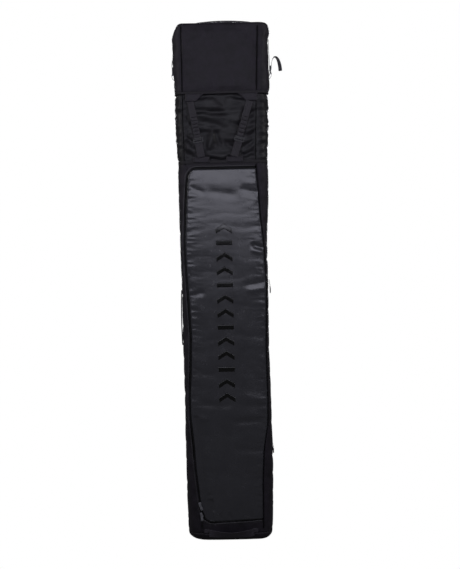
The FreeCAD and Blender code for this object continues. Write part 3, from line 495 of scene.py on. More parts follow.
def ring_at(z, inset):
    """One closed row of the shell, from the front's left seam round by the right side, as (x, y)."""
    left, right = LEFT_SEAM(z), RIGHT_SEAM(z)
    wide_left, wide_right = LEFT_EDGE(z), RIGHT_EDGE(z)
    deep, back = HALF_DEPTH(z), BACK_SEAM(z)
    span = np.arange(FRONT_COUNT) / FRONT_COUNT
    turn = np.linspace(-1, 1, SIDE_COUNT + 1)[:-1]
    swing = turn * math.pi / 2
    bulge = np.cos(swing) ** 0.8
    sink = np.sign(np.sin(swing)) * np.abs(np.sin(swing)) ** 0.92
    share = (turn + 1) / 2
    front = np.stack([-left + (left + right) * span, np.full_like(span, -deep)], axis=1)
    foot_right = right + (back - right) * share
    side_right = np.stack([foot_right + (wide_right - foot_right) * bulge, deep * sink], axis=1)
    rear = np.stack([back - 2 * back * span, np.full_like(span, deep)], axis=1)
    foot_left = back + (left - back) * share
    side_left = np.stack([-(foot_left + (wide_left - foot_left) * bulge), -deep * sink], axis=1)
    ring = np.vstack([front, side_right, rear, side_left])
    if inset:
        middle_x = np.clip(ring[:, 0], -left + 40, right - 40)
        reach = np.hypot(ring[:, 0] - middle_x, ring[:, 1])
        target = np.stack([middle_x, np.zeros(len(ring))], axis=1)
        ring = target + (ring - target) * (1 - inset / np.maximum(reach, 1))[:, None]
    return ring


def shell_rows():
    """Heights and insets of the rows: a rounded foot, the straight run, and a rounded top edge."""
    rows = []
    for k in range(5):
        angle = k / 5 * math.pi / 2
        rows.append((BASE_ROUND * (1 - math.cos(angle)), BASE_ROUND * (1 - math.sin(angle))))
    count = int((TOP - TOP_ROUND - BASE_ROUND) / ROW_STEP)
    rows += [(z, 0.0) for z in np.linspace(BASE_ROUND, TOP - TOP_ROUND, count)]
    for k in range(1, 4):
        angle = k / 3 * math.pi / 2
        rows.append((TOP - TOP_ROUND * (1 - math.sin(angle)), TOP_ROUND * (1 - math.cos(angle))))
    return rows


def build_shell():
    """The whole bag as one closed grid: points[row, column], and the rows' heights."""
    rows = shell_rows()
    points = np.zeros((len(rows), E, 3))
    for j, (z, inset) in enumerate(rows):
        points[j, :, :2] = ring_at(z, inset)
        points[j, :, 2] = z
    along = np.roll(points, -1, axis=1) - np.roll(points, 1, axis=1)
    normal = unit(np.stack([along[:, :, 1], -along[:, :, 0], np.zeros(along.shape[:2])], axis=2))
    x, z = points[:, :, 0], points[:, :, 2]
    left, right = LEFT_SEAM(z), RIGHT_SEAM(z)
    relief = np.zeros(x.shape)
    relief[:, FRONT] = front_relief(x[:, FRONT], z[:, FRONT], left[:, FRONT], right[:, FRONT])
    sleeve = between(z, SLEEVE_LOW, SLEEVE_HIGH, 14)
    relief[:, REAR] = 2.2 * creases(x[:, REAR], z[:, REAR], 130, 60, 21.0)
    relief[:, REAR] += sleeve[:, REAR] * (5.0 * creases(x[:, REAR], z[:, REAR], 80, 17, 23.0) - 2)
    turn = np.linspace(-1, 1, SIDE_COUNT + 1)[:-1][None].repeat(len(rows), 0)
    for first, seed in ((B, 31.0), (D, 37.0)):
        part = slice(first, first + SIDE_COUNT)
        relief[:, part] = side_relief(turn, z[:, part], seed)
    seam = np.ones(x.shape[1])
    seam[[A, B, C, D]] = 0.15
    calm = np.clip(z / 60, 0, 1) * np.clip((TOP - z) / 30, 0, 1)
    # Under the straps and beside the zip pulls the cloth stays flat enough to clear them.
    room = np.where(sleeve > 0, 2.2, 7.0)
    room[:, FRONT] = np.where((z[:, FRONT] < 170) & (x[:, FRONT] < -70), 1.0, room[:, FRONT])
    relief = np.where(relief > 0, room * np.tanh(relief / room), relief)
    points += normal * (relief * seam * calm)[:, :, None]
    # The foot is bowed: it rests on its middle and its ends lift a little.
    bow = 7 * np.clip(np.abs(x - 10) / 140, 0, 1.1) ** 4
    points[:, :, 2] += bow * np.clip(1 - z / 70, 0, 1) ** 2
    # The hems draw the cloth in a little.
    for level, depth in ((BODY_HEM, 2.5), (HOOD_LOW, 3.0)):
        points -= normal * (depth * bell(z, level, 9))[:, :, None]
    return points, np.array([z for z, inset in rows])


def cap_rings(ring, z, count, rise):
    """Rings that close the end of the shell towards its middle line."""
    left, right = LEFT_SEAM(z), RIGHT_SEAM(z)
    middle = ring.copy()
    middle[:, 0] = np.clip(ring[:, 0], -left + 30, right - 30)
    middle[:, 1] = 0
    rings = []
    for k in range(1, count + 1):
        share = k / count
        layer = ring + (middle - ring) * share
        layer[:, 2] = ring[:, 2] + rise * math.sin(share * math.pi / 2)
        layer[:, 2] -= (ring[:, 2] - ring[:, 2].min()) * share * 0.2
        rings.append(layer)
    return rings


shell, heights = build_shell()
ROWS, COLUMNS = shell.shape[:2]


def smooth_field(field, reach):
    """A blur over a grid of values, wrapping round the bag."""
    wide = np.pad(field, ((reach, reach), (0, 0)), mode="edge")
    wide = np.pad(wide, ((0, 0), (reach, reach)), mode="wrap")
    window = hanning(reach)
    wide = np.apply_along_axis(lambda line: np.convolve(line, window, "valid"), 0, wide)
    return np.apply_along_axis(lambda line: np.convolve(line, window, "valid"), 1, wide)


def gather_amount(grid):
    """How much of the simulated gathers each place keeps: most in the sleeve, little in the padded panels."""
    z = grid[:, :, 2]
    sleeve = (z > SLEEVE_LOW) & (z < SLEEVE_HIGH)
    amount = np.where(sleeve, 1.2, 0.35)
    x = grid[:, FRONT, 0]
    from_seam = np.minimum(x + LEFT_SEAM(z[:, FRONT]), RIGHT_SEAM(z[:, FRONT]) - x)
    door = 0.04 + 0.38 * np.exp(-np.maximum(from_seam, 0) / 15)
    amount[:, FRONT] = np.where(z[:, FRONT] < SLEEVE_LOW, door, amount[:, FRONT])
    return amount


def settle(grid, frames=20, most=4.0):
    """Lets the cloth settle as filled, gathered fabric: held at seams and hems, pushed out from inside."""
    mesh = bpy.data.meshes.new("settling")
    mesh.from_pydata([tuple(p * MM) for p in grid.reshape(-1, 3)], [], grid_faces(ROWS, COLUMNS, closed=True))
    mesh.update()
    cloth_bag = bpy.data.objects.new("settling", mesh)
    bpy.context.collection.objects.link(cloth_bag)
    ids = np.arange(ROWS * COLUMNS).reshape(ROWS, COLUMNS)
    firm = np.zeros((ROWS, COLUMNS), dtype=bool)
    firm[:, [A, B, C, D]] = True
    firm[(heights < 45) | (heights > TOP - 20)] = True
    for level in (BODY_HEM, HOOD_LOW, DOOR_TOP):
        firm[np.abs(heights - level) < 5] = True
    cloth_bag.vertex_groups.new(name="held").add([int(i) for i in ids[firm]], 1.0, "REPLACE")
    cloth = cloth_bag.modifiers.new("cloth", "CLOTH")
    for setting, value in {
        "quality": 6, "mass": 0.25, "tension_stiffness": 18, "compression_stiffness": 9,
        "bending_stiffness": 0.25, "vertex_group_mass": "held", "use_pressure": True,
        "uniform_pressure_force": 2.0, "shrink_min": -0.035,
    }.items():
        setattr(cloth.settings, setting, value)
    cloth.settings.effector_weights.gravity = 0.0
    cloth.collision_settings.use_collision = False
    cloth.point_cache.frame_start, cloth.point_cache.frame_end = 1, frames
    scene = bpy.context.scene
    for moment in range(1, frames + 1):
        scene.frame_set(moment)
    bpy.context.view_layer.update()
    graph = bpy.context.evaluated_depsgraph_get()
    result = cloth_bag.evaluated_get(graph)
    moved = np.zeros(ROWS * COLUMNS * 3)
    result.data.vertices.foreach_get("co", moved)
    moved = moved.reshape(grid.shape) / MM
    bpy.data.objects.remove(cloth_bag)
    bpy.data.meshes.remove(mesh)
    scene.frame_set(1)
    shift = moved - grid
    # The fine gathers are kept and most of the broad swelling is taken off, so the bag keeps its size.
    broad = np.stack([smooth_field(shift[:, :, k], 7) for k in range(3)], axis=2)
    shift = (shift - broad) * gather_amount(grid)[:, :, None] + 0.12 * broad
    size = np.maximum(np.linalg.norm(shift, axis=2, keepdims=True), 1e-6)
    shift *= most * np.tanh(size / most) / size
    return grid + shift


# How far forward (y) the cloth may come: in the sleeve behind the straps, elsewhere on the front, along the
# straight run of the zip, and at its corner; and how softly each limit gives.
SLEEVE_LIMIT, FRONT_LIMIT, RUN_LIMIT, CORNER_LIMIT = -63.5, -69.0, -62.4, -61.4
SOFT_GIVE, FIRM_GIVE = 1.2, 0.5
RUN_TOP, RUN_WIDTH, CORNER_TOP, CORNER_SIDE = 450, 26, 150, -60


def behind_the_hardware(grid):
    """Holds the front back with a soft limit, behind the straps and where the zip sliders and pulls run."""
    settled = grid.copy()
    x, z = grid[:, FRONT, 0], grid[:, FRONT, 2]
    limit = np.where((z > SLEEVE_LOW) & (z < SLEEVE_HIGH + 20), SLEEVE_LIMIT, FRONT_LIMIT)
    slider_run = (z < RUN_TOP) & (x < RUN_WIDTH - LEFT_SEAM(z))
    slider_corner = (z < CORNER_TOP) & (x < CORNER_SIDE)
    limit = np.where(slider_run, RUN_LIMIT, limit)
    limit = np.where(slider_corner, CORNER_LIMIT, limit)
    give = np.where(slider_run | slider_corner, FIRM_GIVE, SOFT_GIVE)
    over = np.maximum(limit - grid[:, FRONT, 1], 0)
    settled[:, FRONT, 1] += over - give * np.tanh(over / give)
    return settled


shell = settle(shell)
shell = behind_the_hardware(shell)

# -------- the door's outline


def left_of_door(z):
    """The door's left edge, with its two round corners."""
    edge = LEFT_SEAM(z)
    top_radius, foot_radius = 33.0, 40.0
    high = np.clip((z - (DOOR_TOP - top_radius)) / top_radius, 0, 1)
    low = np.clip(((DOOR_FOOT + foot_radius) - z) / foot_radius, 0, 1)
    return edge - top_radius * (1 - np.sqrt(1 - high**2)) - foot_radius * (1 - np.sqrt(1 - low**2))


def foot_slant(x):
    """How much higher the door's foot is than its lowest corner; it slants up towards the hinge."""
    return 9 * np.clip((x + 59) / 180, 0, 1)


def door_point(u, v):
    """A point of the door; u goes from 0 at the zipped side to 1 at the hinge, v from 0 at the foot to 1."""
    z0 = DOOR_FOOT + (DOOR_TOP - DOOR_FOOT) * v
    left, right = -left_of_door(z0), RIGHT_SEAM(z0)
    x = left + (right - left) * u
    return x, z0 + foot_slant(x) * np.clip(1 - (z0 - DOOR_FOOT) / 120, 0, 1)


def door_rim(step=4.0):
    """The zipped part of the door's edge, from the top right round the left side to the bottom right."""
    across = np.linspace(0.985, 0.0, 60)
    down = np.sin(np.linspace(math.pi / 2, -math.pi / 2, 400)) * 0.5 + 0.5
    top = np.stack(door_point(across, np.ones_like(across)), axis=1)
    side = np.stack(door_point(np.zeros_like(down), down), axis=1)
    foot = np.stack(door_point(across[::-1], np.zeros_like(across)), axis=1)
    rim = spaced(np.vstack([top, side[1:-1], foot]), step)
    return smoothed(rim, 1)


shell_faces = grid_faces(ROWS, COLUMNS, closed=True)
surface = BVHTree.FromPolygons([tuple(p) for p in shell.reshape(-1, 3)], shell_faces, all_triangles=False)
rim = door_rim()


def front_y(x, z):
    """Where the front of the bag lies at each (x, z)."""
    x, z = np.broadcast_arrays(np.asarray(x, dtype=float), np.asarray(z, dtype=float))
    out = np.full(x.shape, -58.0)
    for index in np.ndindex(x.shape):
        hit = surface.ray_cast(Vector((x[index], -300, z[index])), Vector((0, 1, 0)))[0]
        if hit:
            out[index] = min(hit.y, -20.0)
    return out


def beside_rim(offset):
    """The door's zipped edge moved outward by an offset, and the outward direction, both as (x, z)."""
    run = headings(rim)
    outside = np.stack([run[:, 1], -run[:, 0]], axis=1)
    if outside[len(outside) // 2, 0] > 0:
        outside = -outside
    return rim + outside * offset, outside


def shell_at(column, level):
    """The point, or points, where a column of the shell passes one or more heights."""
    return np.stack([np.interp(level, heights, shell[:, column, k]) for k in range(3)], axis=-1)


def ring_line(z):
    """The shell's outline at one height."""
    return np.stack([shell_at(c, z) for c in range(COLUMNS)])


# -------- the shell's panels


def panel(name, columns, low, high, material, body, replaces, thick=2.0, lift=0.0, cap=None, skip=None):
    """A piece of the shell between two columns and two heights, with its own edges; a cap closes its foot."""
    keep = [j for j, z in enumerate(heights) if low - 0.01 <= z <= high + 0.01]
    ids = [c % COLUMNS for c in range(columns[0], columns[1] + 1)]
    layers = [shell[np.ix_(keep, ids)]]
    if heights[0] < low < heights[-1]:
        layers.insert(0, np.stack([shell_at(c, low) for c in ids])[None])
    if heights[0] < high < heights[-1]:
        layers.append(np.stack([shell_at(c, high) for c in ids])[None])
    if cap is not None:
        layers = [ring[ids][None] for ring in cap[::-1]] + layers
    points = np.vstack(layers)
    rows, count = points.shape[:2]
    if lift:
        along = np.gradient(points, axis=1)
        up = np.gradient(points, axis=0)
        points += unit(np.cross(along, up)) * lift
    points = points.reshape(-1, 3)
    faces = grid_faces(rows, count)
    if skip:
        faces = [face for face in faces if not skip(points[list(face)].mean(axis=0))]
    piece = new_piece(name, points, faces, material)
    clean_mesh(piece)
    thicken(piece, thick)
    finish_piece(piece, body, replaces)
    return piece


def clean_mesh(piece):
    mesh = bmesh.new()
    mesh.from_mesh(piece.data)
    bmesh.ops.remove_doubles(mesh, verts=mesh.verts, dist=0.05 * MM)
    loose = [v for v in mesh.verts if not v.link_faces]
    bmesh.ops.delete(mesh, geom=loose, context="VERTS")
    mesh.to_mesh(piece.data)
    mesh.free()
    shade_smooth(piece.data)


def in_door(point, margin=5.0):
    """True inside the door's outline grown by a margin, so the shell is open behind the door."""
    x, y, z = point
    if y > 0:
        return False
    if not DOOR_FOOT - margin < z < DOOR_TOP + margin:
        return False
    z0 = min(max(z, DOOR_FOOT + 1), DOOR_TOP - 1)
    left, right = -left_of_door(z0) - margin, RIGHT_SEAM(z0) - 0.5
    return left < x < right and z > DOOR_FOOT + foot_slant(x) - margin


foot_cap = cap_rings(shell[0], heights[0], 7, 0.0)
top_cap = cap_rings(shell[-1], heights[-1], 7, 4.5)

for name, columns, low, high, node, skip in (
    ("back_cloth", (C, D), BASE_ROUND, SLEEVE_LOW, "back_panel", None),
    ("right_gusset", (B, C), BASE_ROUND, SLEEVE_LOW, "right_side_panel", in_door),
    ("left_gusset", (D, E), BASE_ROUND, SLEEVE_LOW, "left_side_panel", in_door),
    ("lower_front_cloth", (A, B), BASE_ROUND, 110, "lower_front_panel", in_door),
    ("top_border_cloth", (A, B), 1310, SLEEVE_LOW + 10, "upper_front_border", in_door),
):
    panel(name, columns, low, high, FABRIC, "bag_body", node, skip=skip)
panel("base_cloth", (0, COLUMNS), 0, BASE_ROUND, FABRIC, "bag_body", "base_panel", cap=foot_cap)
whole = (0, COLUMNS)
sleeve = panel("sleeve_cloth", whole, SLEEVE_LOW - 4, SLEEVE_HIGH + 6, SLEEVE, "bag_body", "sleeve", 1.2)
shorten(sleeve)
for name, columns, node in (
    ("hood_front_cloth", (A, B), "hood_front_panel"),
    ("hood_back_cloth", (C, D), "hood_back_panel"),
    ("hood_right_cloth", (B, C), "hood_right_side_panel"),
    ("hood_left_cloth", (D, E), "hood_left_side_panel"),
):
    panel(name, columns, HOOD_LOW, TOP, FABRIC, "hood", node, lift=1.6)
top_points = np.vstack([shell[-1]] + top_cap)
top_faces = grid_faces(len(top_cap) + 1, COLUMNS, closed=True)
top_piece = new_piece("hood_top_cloth", top_points, top_faces, FABRIC)
clean_mesh(top_piece)
thicken(top_piece, 2.0)
finish_piece(top_piece, "hood", "hood_top_panel")

# -------- the door


def door_mesh(name, inset, depth, thick, across, up, material, replaces, relief=1.0, round_over=7.0):
    """A sheet that fills the door's outline, rounded over at its edge."""
    u = np.linspace(0, 1, across)[None].repeat(up, 0)
    v = np.linspace(0, 1, up)[:, None].repeat(across, 1)
    x, z = door_point(u, v)
    half_width, half_height = 145, 640
    middle_z = DOOR_FOOT + half_height
    x = x * (1 - inset / half_width)
    z = middle_z + (z - middle_z) * (1 - inset / half_height)
    flat = -63.0
    y = flat + (front_y(x, z) - flat) * relief + depth
    left, right = door_point(np.zeros_like(v), v)[0], door_point(np.ones_like(v), v)[0]
    edge = np.minimum(np.minimum(x - left, right - x), np.minimum(z - DOOR_FOOT, DOOR_TOP - z))
    edge = np.clip(edge / round_over, 0, 1)
    y += 2.4 * (1 - np.sqrt(np.clip(1 - (1 - edge) ** 2, 0, 1)))
    piece = new_piece(name, np.stack([x, y, z], axis=2).reshape(-1, 3), grid_faces(up, across), material)
    thicken(piece, thick)
    finish_piece(piece, "door", replaces)
    return piece


door_sheet = door_mesh("door_cloth", 0, -0.6, 3.0, 90, 380, DOOR, "door_panel")
lining = door_mesh("door_lining", 9, 3.4, 2.2, 50, 200, LINING, "door_padding", relief=0.4)

# -------- the zip


def rim_sweep(name, profile, offset, material, body, replaces):
    """A strip that follows the zipped edge of the door at a set distance outside it, sunk a millimetre."""
    line, outside = beside_rim(offset)
    level = smoothed(np.minimum(smoothed(front_y(line[:, 0], line[:, 1]), 3), -55.0), 3) + 1.0
    centres = np.stack([line[:, 0], level, line[:, 1]], axis=1)
    across = np.stack([outside[:, 0], np.zeros(len(line)), outside[:, 1]], axis=1)
    outward = np.tile([0.0, -1.0, 0.0], (len(line), 1))
    points, faces, uvs = sweep(centres, across, outward, profile)
    new_piece(name, points, faces, material, body, replaces, uvs)


inner_half = [(-3.4, 0.0), (-3.4, 1.0), (-2.4, 1.7), (1.6, 1.9), (2.1, 1.2), (2.1, 0.0)]
outer_half = [(-2.1, 0.0), (-2.1, 1.2), (-1.6, 1.9), (2.6, 1.7), (3.6, 1.0), (3.6, 0.0)]
rim_sweep("zip_tape_door", inner_half[::-1], 2.6, COIL, "door", "zip_tape_door_side")
rim_sweep("zip_tape_body", outer_half[::-1], 8.4, ZIP_TAPE, "bag_body", "zip_tape_body_side")

# -------- seams, piping and stitching


def piping(name, column, low, high, outward, material, body, radius=2.3):
    line = smoothed(shell_at(column, np.arange(low, high + 0.1, 8.0)), 2)
    outward = np.tile(outward, (len(line), 1)).astype(float)
    across = np.cross(headings(line), outward)
    points, faces, uvs = sweep(line + unit(outward) * 0.8, across, outward, round_profile(radius))
    return new_piece(name, points, faces, material, body, uvs=uvs)


FRONT_LEFT, FRONT_RIGHT = (-0.7, -0.7, 0), (0.7, -0.7, 0)
for side, column, back_column, outward in (("left", A, D, FRONT_LEFT), ("right", B, C, FRONT_RIGHT)):
    back = (outward[0], 0.7, 0)
    piping(f"hood_{side}_piping", column, HOOD_LOW + 2, TOP - 6, outward, PIPING_AND_SHADE, "hood")
    piping(f"hood_{side}_back_piping", back_column, HOOD_LOW + 2, TOP - 6, back, PIPING_AND_SHADE, "hood")
    piping(f"body_{side}_back_piping", back_column, BASE_ROUND, SLEEVE_LOW - 2, back, PIPING_AND_SHADE, "bag_body")
piping("door_hinge_seam", B, 40, SLEEVE_LOW - 2, FRONT_RIGHT, PIPING_AND_SHADE, "bag_body", 1.5)
for side, column, outward in (("left", A, FRONT_LEFT), ("right", B, FRONT_RIGHT)):
    low, high = SLEEVE_LOW + 6, SLEEVE_HIGH + 2
    seam = piping(f"sleeve_{side}_seam", column, low, high, outward, PIPING_AND_SHADE, "bag_body", 1.7)
    shorten(seam)


def hem_band(name, z, tall, lift, material, body):
    """A turned hem that runs all the way round the bag."""
    thick = 1.4
    line = ring_line(z)
    run = headings(line, closed=True)
    outward = unit(np.stack([run[:, 1], -run[:, 0], np.zeros(len(run))], axis=1))
    across = np.tile([0.0, 0.0, 1.0], (len(line), 1))
    half = [(-tall / 2, 0), (-tall / 2, thick * 0.7), (-tall / 2 + 1.2, thick)]
    profile = half + [(-x, y) for x, y in half[::-1]]
    points, faces, uvs = sweep(line + outward * lift, across, outward, profile, closed=True)
    new_piece(name, points, faces, material, body, uvs=uvs)


hem_band("hood_hem", HOOD_LOW + 5, 10, 2.4, HEM, "hood")
hem_band("hood_hem_edge", HOOD_LOW - 1, 2.2, 1.6, PIPING_AND_SHADE, "hood")
hem_band("body_hem", SLEEVE_LOW + 2, 13, 1.6, HEM, "bag_body")

# -------- webbing


def ribbon(name, centres, across, outward, width, thick, material, body=None, replaces=None, step=3.0):
    """A strap of webbing along a smooth line; across and outward are one direction, or one for each point."""
    line = np.asarray(centres, dtype=float)
    runs = distances(line)
    marks = np.linspace(0, runs[-1], max(3, int(runs[-1] / step) + 1))
    sides = [np.broadcast_to(np.asarray(side, dtype=float), line.shape) for side in (across, outward)]
    line, across, outward = (resampled(values, runs, marks) for values in (line, *sides))
    points, faces, uvs = sweep(line, across, outward, band_profile(width, thick))
    return new_piece(name, points, faces, material, body, replaces, uvs)


def curve_through(marks, count=60):
    """A smooth line through a few marks (Catmull-Rom)."""
    marks = np.asarray(marks, dtype=float)
    ends = np.vstack([2 * marks[0] - marks[1], marks, 2 * marks[-1] - marks[-2]])
    out = []
    spans = len(marks) - 1
    for s in np.linspace(0, spans - 1e-6, count):
        k = int(s)
        t = s - k
        a, b, c, d = ends[k : k + 4]
        square, cube = 2 * a - 5 * b + 4 * c - d, 3 * b - a - 3 * c + d
        out.append(0.5 * (2 * b + (c - a) * t + square * t**2 + cube * t**3))
    return np.array(out)


def stitches(name, lines, body, dash=3.2, gap=1.6, radius=0.38, material=THREAD):
    """Rows of sewing: each line is (points, outward); every dash is a small rounded bar."""
    sides = 5
    turns = [2 * math.pi * k / sides for k in range(sides)]
    points, faces = [], []
    for line, outward in lines:
        marks = spaced(line, dash + gap)
        for start, end in zip(marks[:-1], marks[1:]):
            ahead = (end - start) / np.linalg.norm(end - start)
            stop = start + ahead * dash
            side = np.cross(ahead, outward)
            first = len(points)
            for place, size in ((start, 0.5), (start + ahead * 0.5, 1), (stop - ahead * 0.5, 1), (stop, 0.5)):
                for turn in turns:
                    offset = side * math.cos(turn) + np.asarray(outward) * math.sin(turn)
                    points.append(place + offset * radius * size)
            faces += [tuple(first + v for v in face) for face in grid_faces(4, sides, closed=True)]
            faces.append(tuple(first + k for k in range(sides))[::-1])
            faces.append(tuple(first + 3 * sides + k for k in range(sides)))
    return new_piece(name, points, faces, material, body)


FORWARD = np.array([0.0, -1.0, 0.0])


def chain_strap(side, count, high, low, hook):
    """A daisy-chain strap: the webbing, the small loops along it, the hook strap, and the loops' tack
    stitches, drawn as thick near-black bars of painted shade between the loops.
    """
    high, low, hook = (np.array([x, 0.0, z]) for x, z in (high, low, hook))
    run = unit(low - high)
    across = np.cross(run, FORWARD)
    level = -65.6
    line = np.linspace(high + (low - high) * 0.02, low + np.array([0, 0, 2.0]), 40) + np.array([0, level, 0])
    chain = ribbon(f"{side}_daisy_strap", line, across, FORWARD, 25, 1.3, WEBBING, "bag_body",
                   f"{side}_daisy_chain")
    loops_top, loops_low = high + (low - high) * 0.30, high + (low - high) * 0.80
    share = np.linspace(0, 1, count * 10 + 1)
    webs = loops_top + (loops_low - loops_top) * share[:, None]
    webs[:, 1] = level - 1.4 - 2.6 * np.abs(np.sin(share * count * math.pi)) ** 0.7
    loops = ribbon(f"{side}_daisy_loops", webs, across, FORWARD, 21, 1.0, WEBBING, "bag_body", step=1.6)
    lift = np.array([0, level - 2.6, 0])
    middles = [loops_top + (loops_low - loops_top) * k / count for k in range(count + 1)]
    rows = [(np.array([middle - across * 9, middle + across * 9]) + lift, FORWARD) for middle in middles]
    # The tack bars are thick and near-black: painted shade in the dips between the loops, laid over the real
    # stitching.
    tacks = stitches(f"{side}_daisy_tacks_shade", rows, "bag_body", dash=2.2, gap=0.3, radius=1.1, material=PIPING_AND_SHADE)
    for piece in (chain, loops, tacks):
        shorten(piece)
    slope = np.array([hook + run * -1.0, low + run * -16.0, low + run * 4])
    slope[:, 1] = (-71.2, -70.9, -69.6)
    ribbon(f"{side}_hook_web", curve_through(slope, 30), across, FORWARD, 28, 1.5, WEBBING, "bag_body",
           f"{side}_hook_strap")


chain_strap("left", 8, (-116, 1598), (-80, 1396), (-89, 1450))
chain_strap("right", 7, (101, 1598), (41, 1396), (58, 1452))


def cloth_patch(name, corners, body):
    """A four-cornered patch of cloth with a turned edge, sewn round and across in an X."""
    corners = np.array([(x, 0.0, z) for x, z in corners])
    y = -66.4
    count = 9
    points = []
    for v in (j / (count - 1) for j in range(count)):
        for u in (i / (count - 1) for i in range(count)):
            low = corners[0] + (corners[1] - corners[0]) * u
            high = corners[3] + (corners[2] - corners[3]) * u
            place = low + (high - low) * v
            edge = min(u, 1 - u, v, 1 - v) * 8
            place[1] = y + 0.5 * (1 - min(1, edge)) ** 2
            points.append(place)
    piece = new_piece(f"{name}_cloth", points, grid_faces(count, count), PATCH)
    thicken(piece, 1.0)
    finish_piece(piece, body, f"{name}_patch")
    middle = corners.mean(axis=0)
    inner = middle + (corners - middle) * 0.86
    inner[:, 1] = y - 0.25
    ends = [(0, 1), (1, 2), (2, 3), (3, 0), (0, 2), (1, 3)]
    stitches(f"{name}_cloth_seams", [(np.array([inner[a], inner[b]]), FORWARD) for a, b in ends], body)


cloth_patch("left_upper", [(-134, 1595), (-95, 1595), (-66, 1623), (-134, 1623)], "hood")
cloth_patch("right_upper", [(87, 1595), (128, 1595), (128, 1623), (55, 1623)], "hood")
cloth_patch("left_lower", [(-110, 1373), (-50, 1373), (-50, 1394), (-110, 1394)], "bag_body")
cloth_patch("right_lower", [(11, 1373), (71, 1373), (71, 1394), (11, 1394)], "bag_body")

# The sewing beside the zip and along the two hems.
zip_line, outside = beside_rim(13.5)
level = smoothed(np.minimum(front_y(zip_line[:, 0], zip_line[:, 1]), -55.0), 3) - 0.4
stitches("zip_sewing", [(np.stack([zip_line[:, 0], level, zip_line[:, 1]], axis=1), FORWARD)], "bag_body")
for name, z, lift, body in (
    ("hood_sewing", HOOD_LOW + 13, 2.4, "hood"), ("body_sewing", SLEEVE_LOW - 7, 0.6, "bag_body"),
):
    line = ring_line(z)[: FRONT_COUNT + 1]
    line[:, 1] -= lift
    stitches(name, [(line, FORWARD)], body)

# -------- handles


def arch(start, end, bow):
    """Points of a handle from start to end, bowed out by a vector at its middle."""
    start, end, bow = (np.asarray(v, dtype=float) for v in (start, end, bow))
    share = np.linspace(0, 1, 40)[:, None]
    return start + (end - start) * share + bow * np.sin(share * math.pi) ** 0.8


# The top handle leans forward, so that its face shows from the front.
lean = math.radians(17)
over = (0, -math.cos(lean), -math.sin(lean))
face = (0, -math.sin(lean), math.cos(lean))
ribbon("top_grip_web", arch((-88, 0, 1883.0), (108, 0, 1883.0), (0, 0, 6.2)), over, face, 28, 3.0,
       GRIP_WEBBING, "top_grip", "top_handle")
for side, start, end in (("left", -96, -78), ("right", 96, 114)):
    ribbon(f"top_{side}_tab_web", [(start, 0, 1880.9), (end, 0, 1880.9)], (0, 1, 0), (0, 0, 1), 27, 1.1,
           GRIP_WEBBING, "hood", f"top_handle_{side}_tab")

# The bottom handle droops: its middle stands away from the bag and tips down.
steps = 41
share = np.linspace(0, 1, steps)
droop = np.sin(share * math.pi) ** 0.9
centres = np.stack([-78 + 163 * share, -68.0 - 13.5 * droop, 29.0 - 6.0 * droop], axis=1)
tip = np.radians(46) * droop
tall = np.stack([np.zeros(steps), -np.sin(tip), np.cos(tip)], axis=1)
face = np.stack([np.zeros(steps), -np.cos(tip), -np.sin(tip)], axis=1)
ribbon("bottom_grip_web", centres, tall, face, 27, 2.2, GRIP_WEBBING, "bottom_grip", "bottom_handle")
for side, start, end in (("left", -96, -79), ("right", 82, 100)):
    ribbon(f"bottom_{side}_tab_web", [(start, -65.4, 36.5), (end, -65.4, 36.5)], (0, 0, 1), FORWARD, 14, 1.1,
           GRIP_WEBBING, "bag_body", f"bottom_handle_{side}_tab")

ribbon("side_grip_web", arch((-160.0, 0, 712), (-160.0, 0, 912), (-2.4, 0, 0)), (0, 1, 0), (-1, 0, 0),
       28, 3.4, GRIP_WEBBING, "side_grip", "side_handle")
for name, low, high in (("lower", 698, 717), ("upper", 907, 926)):
    ribbon(f"side_{name}_tab_web", [(-158.4, 0, low), (-158.4, 0, high)], (0, 1, 0), (-1, 0, 0), 27, 1.2,
           GRIP_WEBBING, "bag_body", f"side_handle_{name}_tab")

# -------- side straps, ring patches and ski straps

for side, sign, bow in (("left", -1, 5.0), ("right", 1, 0.0)):
    strap = curve_through([
        (sign * x, 0, z) for x, z in (
            (174.6, 1706), (174.8 + bow, 1722), (174.6 + bow, 1745), (173.6, 1768), (172.4, 1790),
            (172.8, 1821),
        )
    ])
    ribbon(f"{side}_side_web", strap, (0, 1, 0), (sign, 0, 0), 23, 1.3, WEBBING, "hood", f"{side}_side_strap")
    loop = curve_through([
        (sign * x, 0, z) for x, z in (
            (174.6, 1680), (179.5, 1686), (181.6, 1696), (179.6, 1701), (176.6, 1697), (175.4, 1690),
        )
    ])
    outward = -np.cross(headings(loop), (0, sign, 0))
    ribbon(f"{side}_anchor_web", loop, (0, 1, 0), outward, 23, 1.1, WEBBING, "hood",
           f"{side}_anchor_loop", step=1.5)

# The loose end twists as it goes over, so its face turns towards the front.
tail = curve_through([
    (182.6, 0, 1712), (184.5, 0, 1738), (190.5, 0, 1754), (198.5, -1, 1757), (206.5, -2, 1748),
    (212.5, -2, 1728), (215, -2, 1706),
])
twist = np.radians(72) * np.clip(np.linspace(-0.35, 1.25, len(tail)), 0, 1)
plane = np.cross(headings(tail), (0, 1, 0))
side_way = np.array([0, 1, 0]) * np.cos(twist)[:, None] + plane * np.sin(twist)[:, None]
ribbon("right_tail_web", tail, side_way, np.cross(headings(tail), side_way), 14, 1.3, WEBBING, "right_lock",
       "right_strap_tail", step=2.0)

for name, low, high in (("upper", 908.4, 945), ("lower", 323.4, 360)):
    patch = curve_through([
        (159.2, 0, high - 1), (160.4, 0, high - 14), (163.2, 0, low + 8), (161.9, 0, low + 1.6),
        (160.2, 0, low + 5), (159.4, 0, low + 12),
    ])
    outward = -np.cross(headings(patch), (0, 1, 0))
    ribbon(f"{name}_ring_web", patch, (0, 1, 0), outward, 24, 1.1, WEBBING, "bag_body",
           f"{name}_ring_patch", step=1.5)

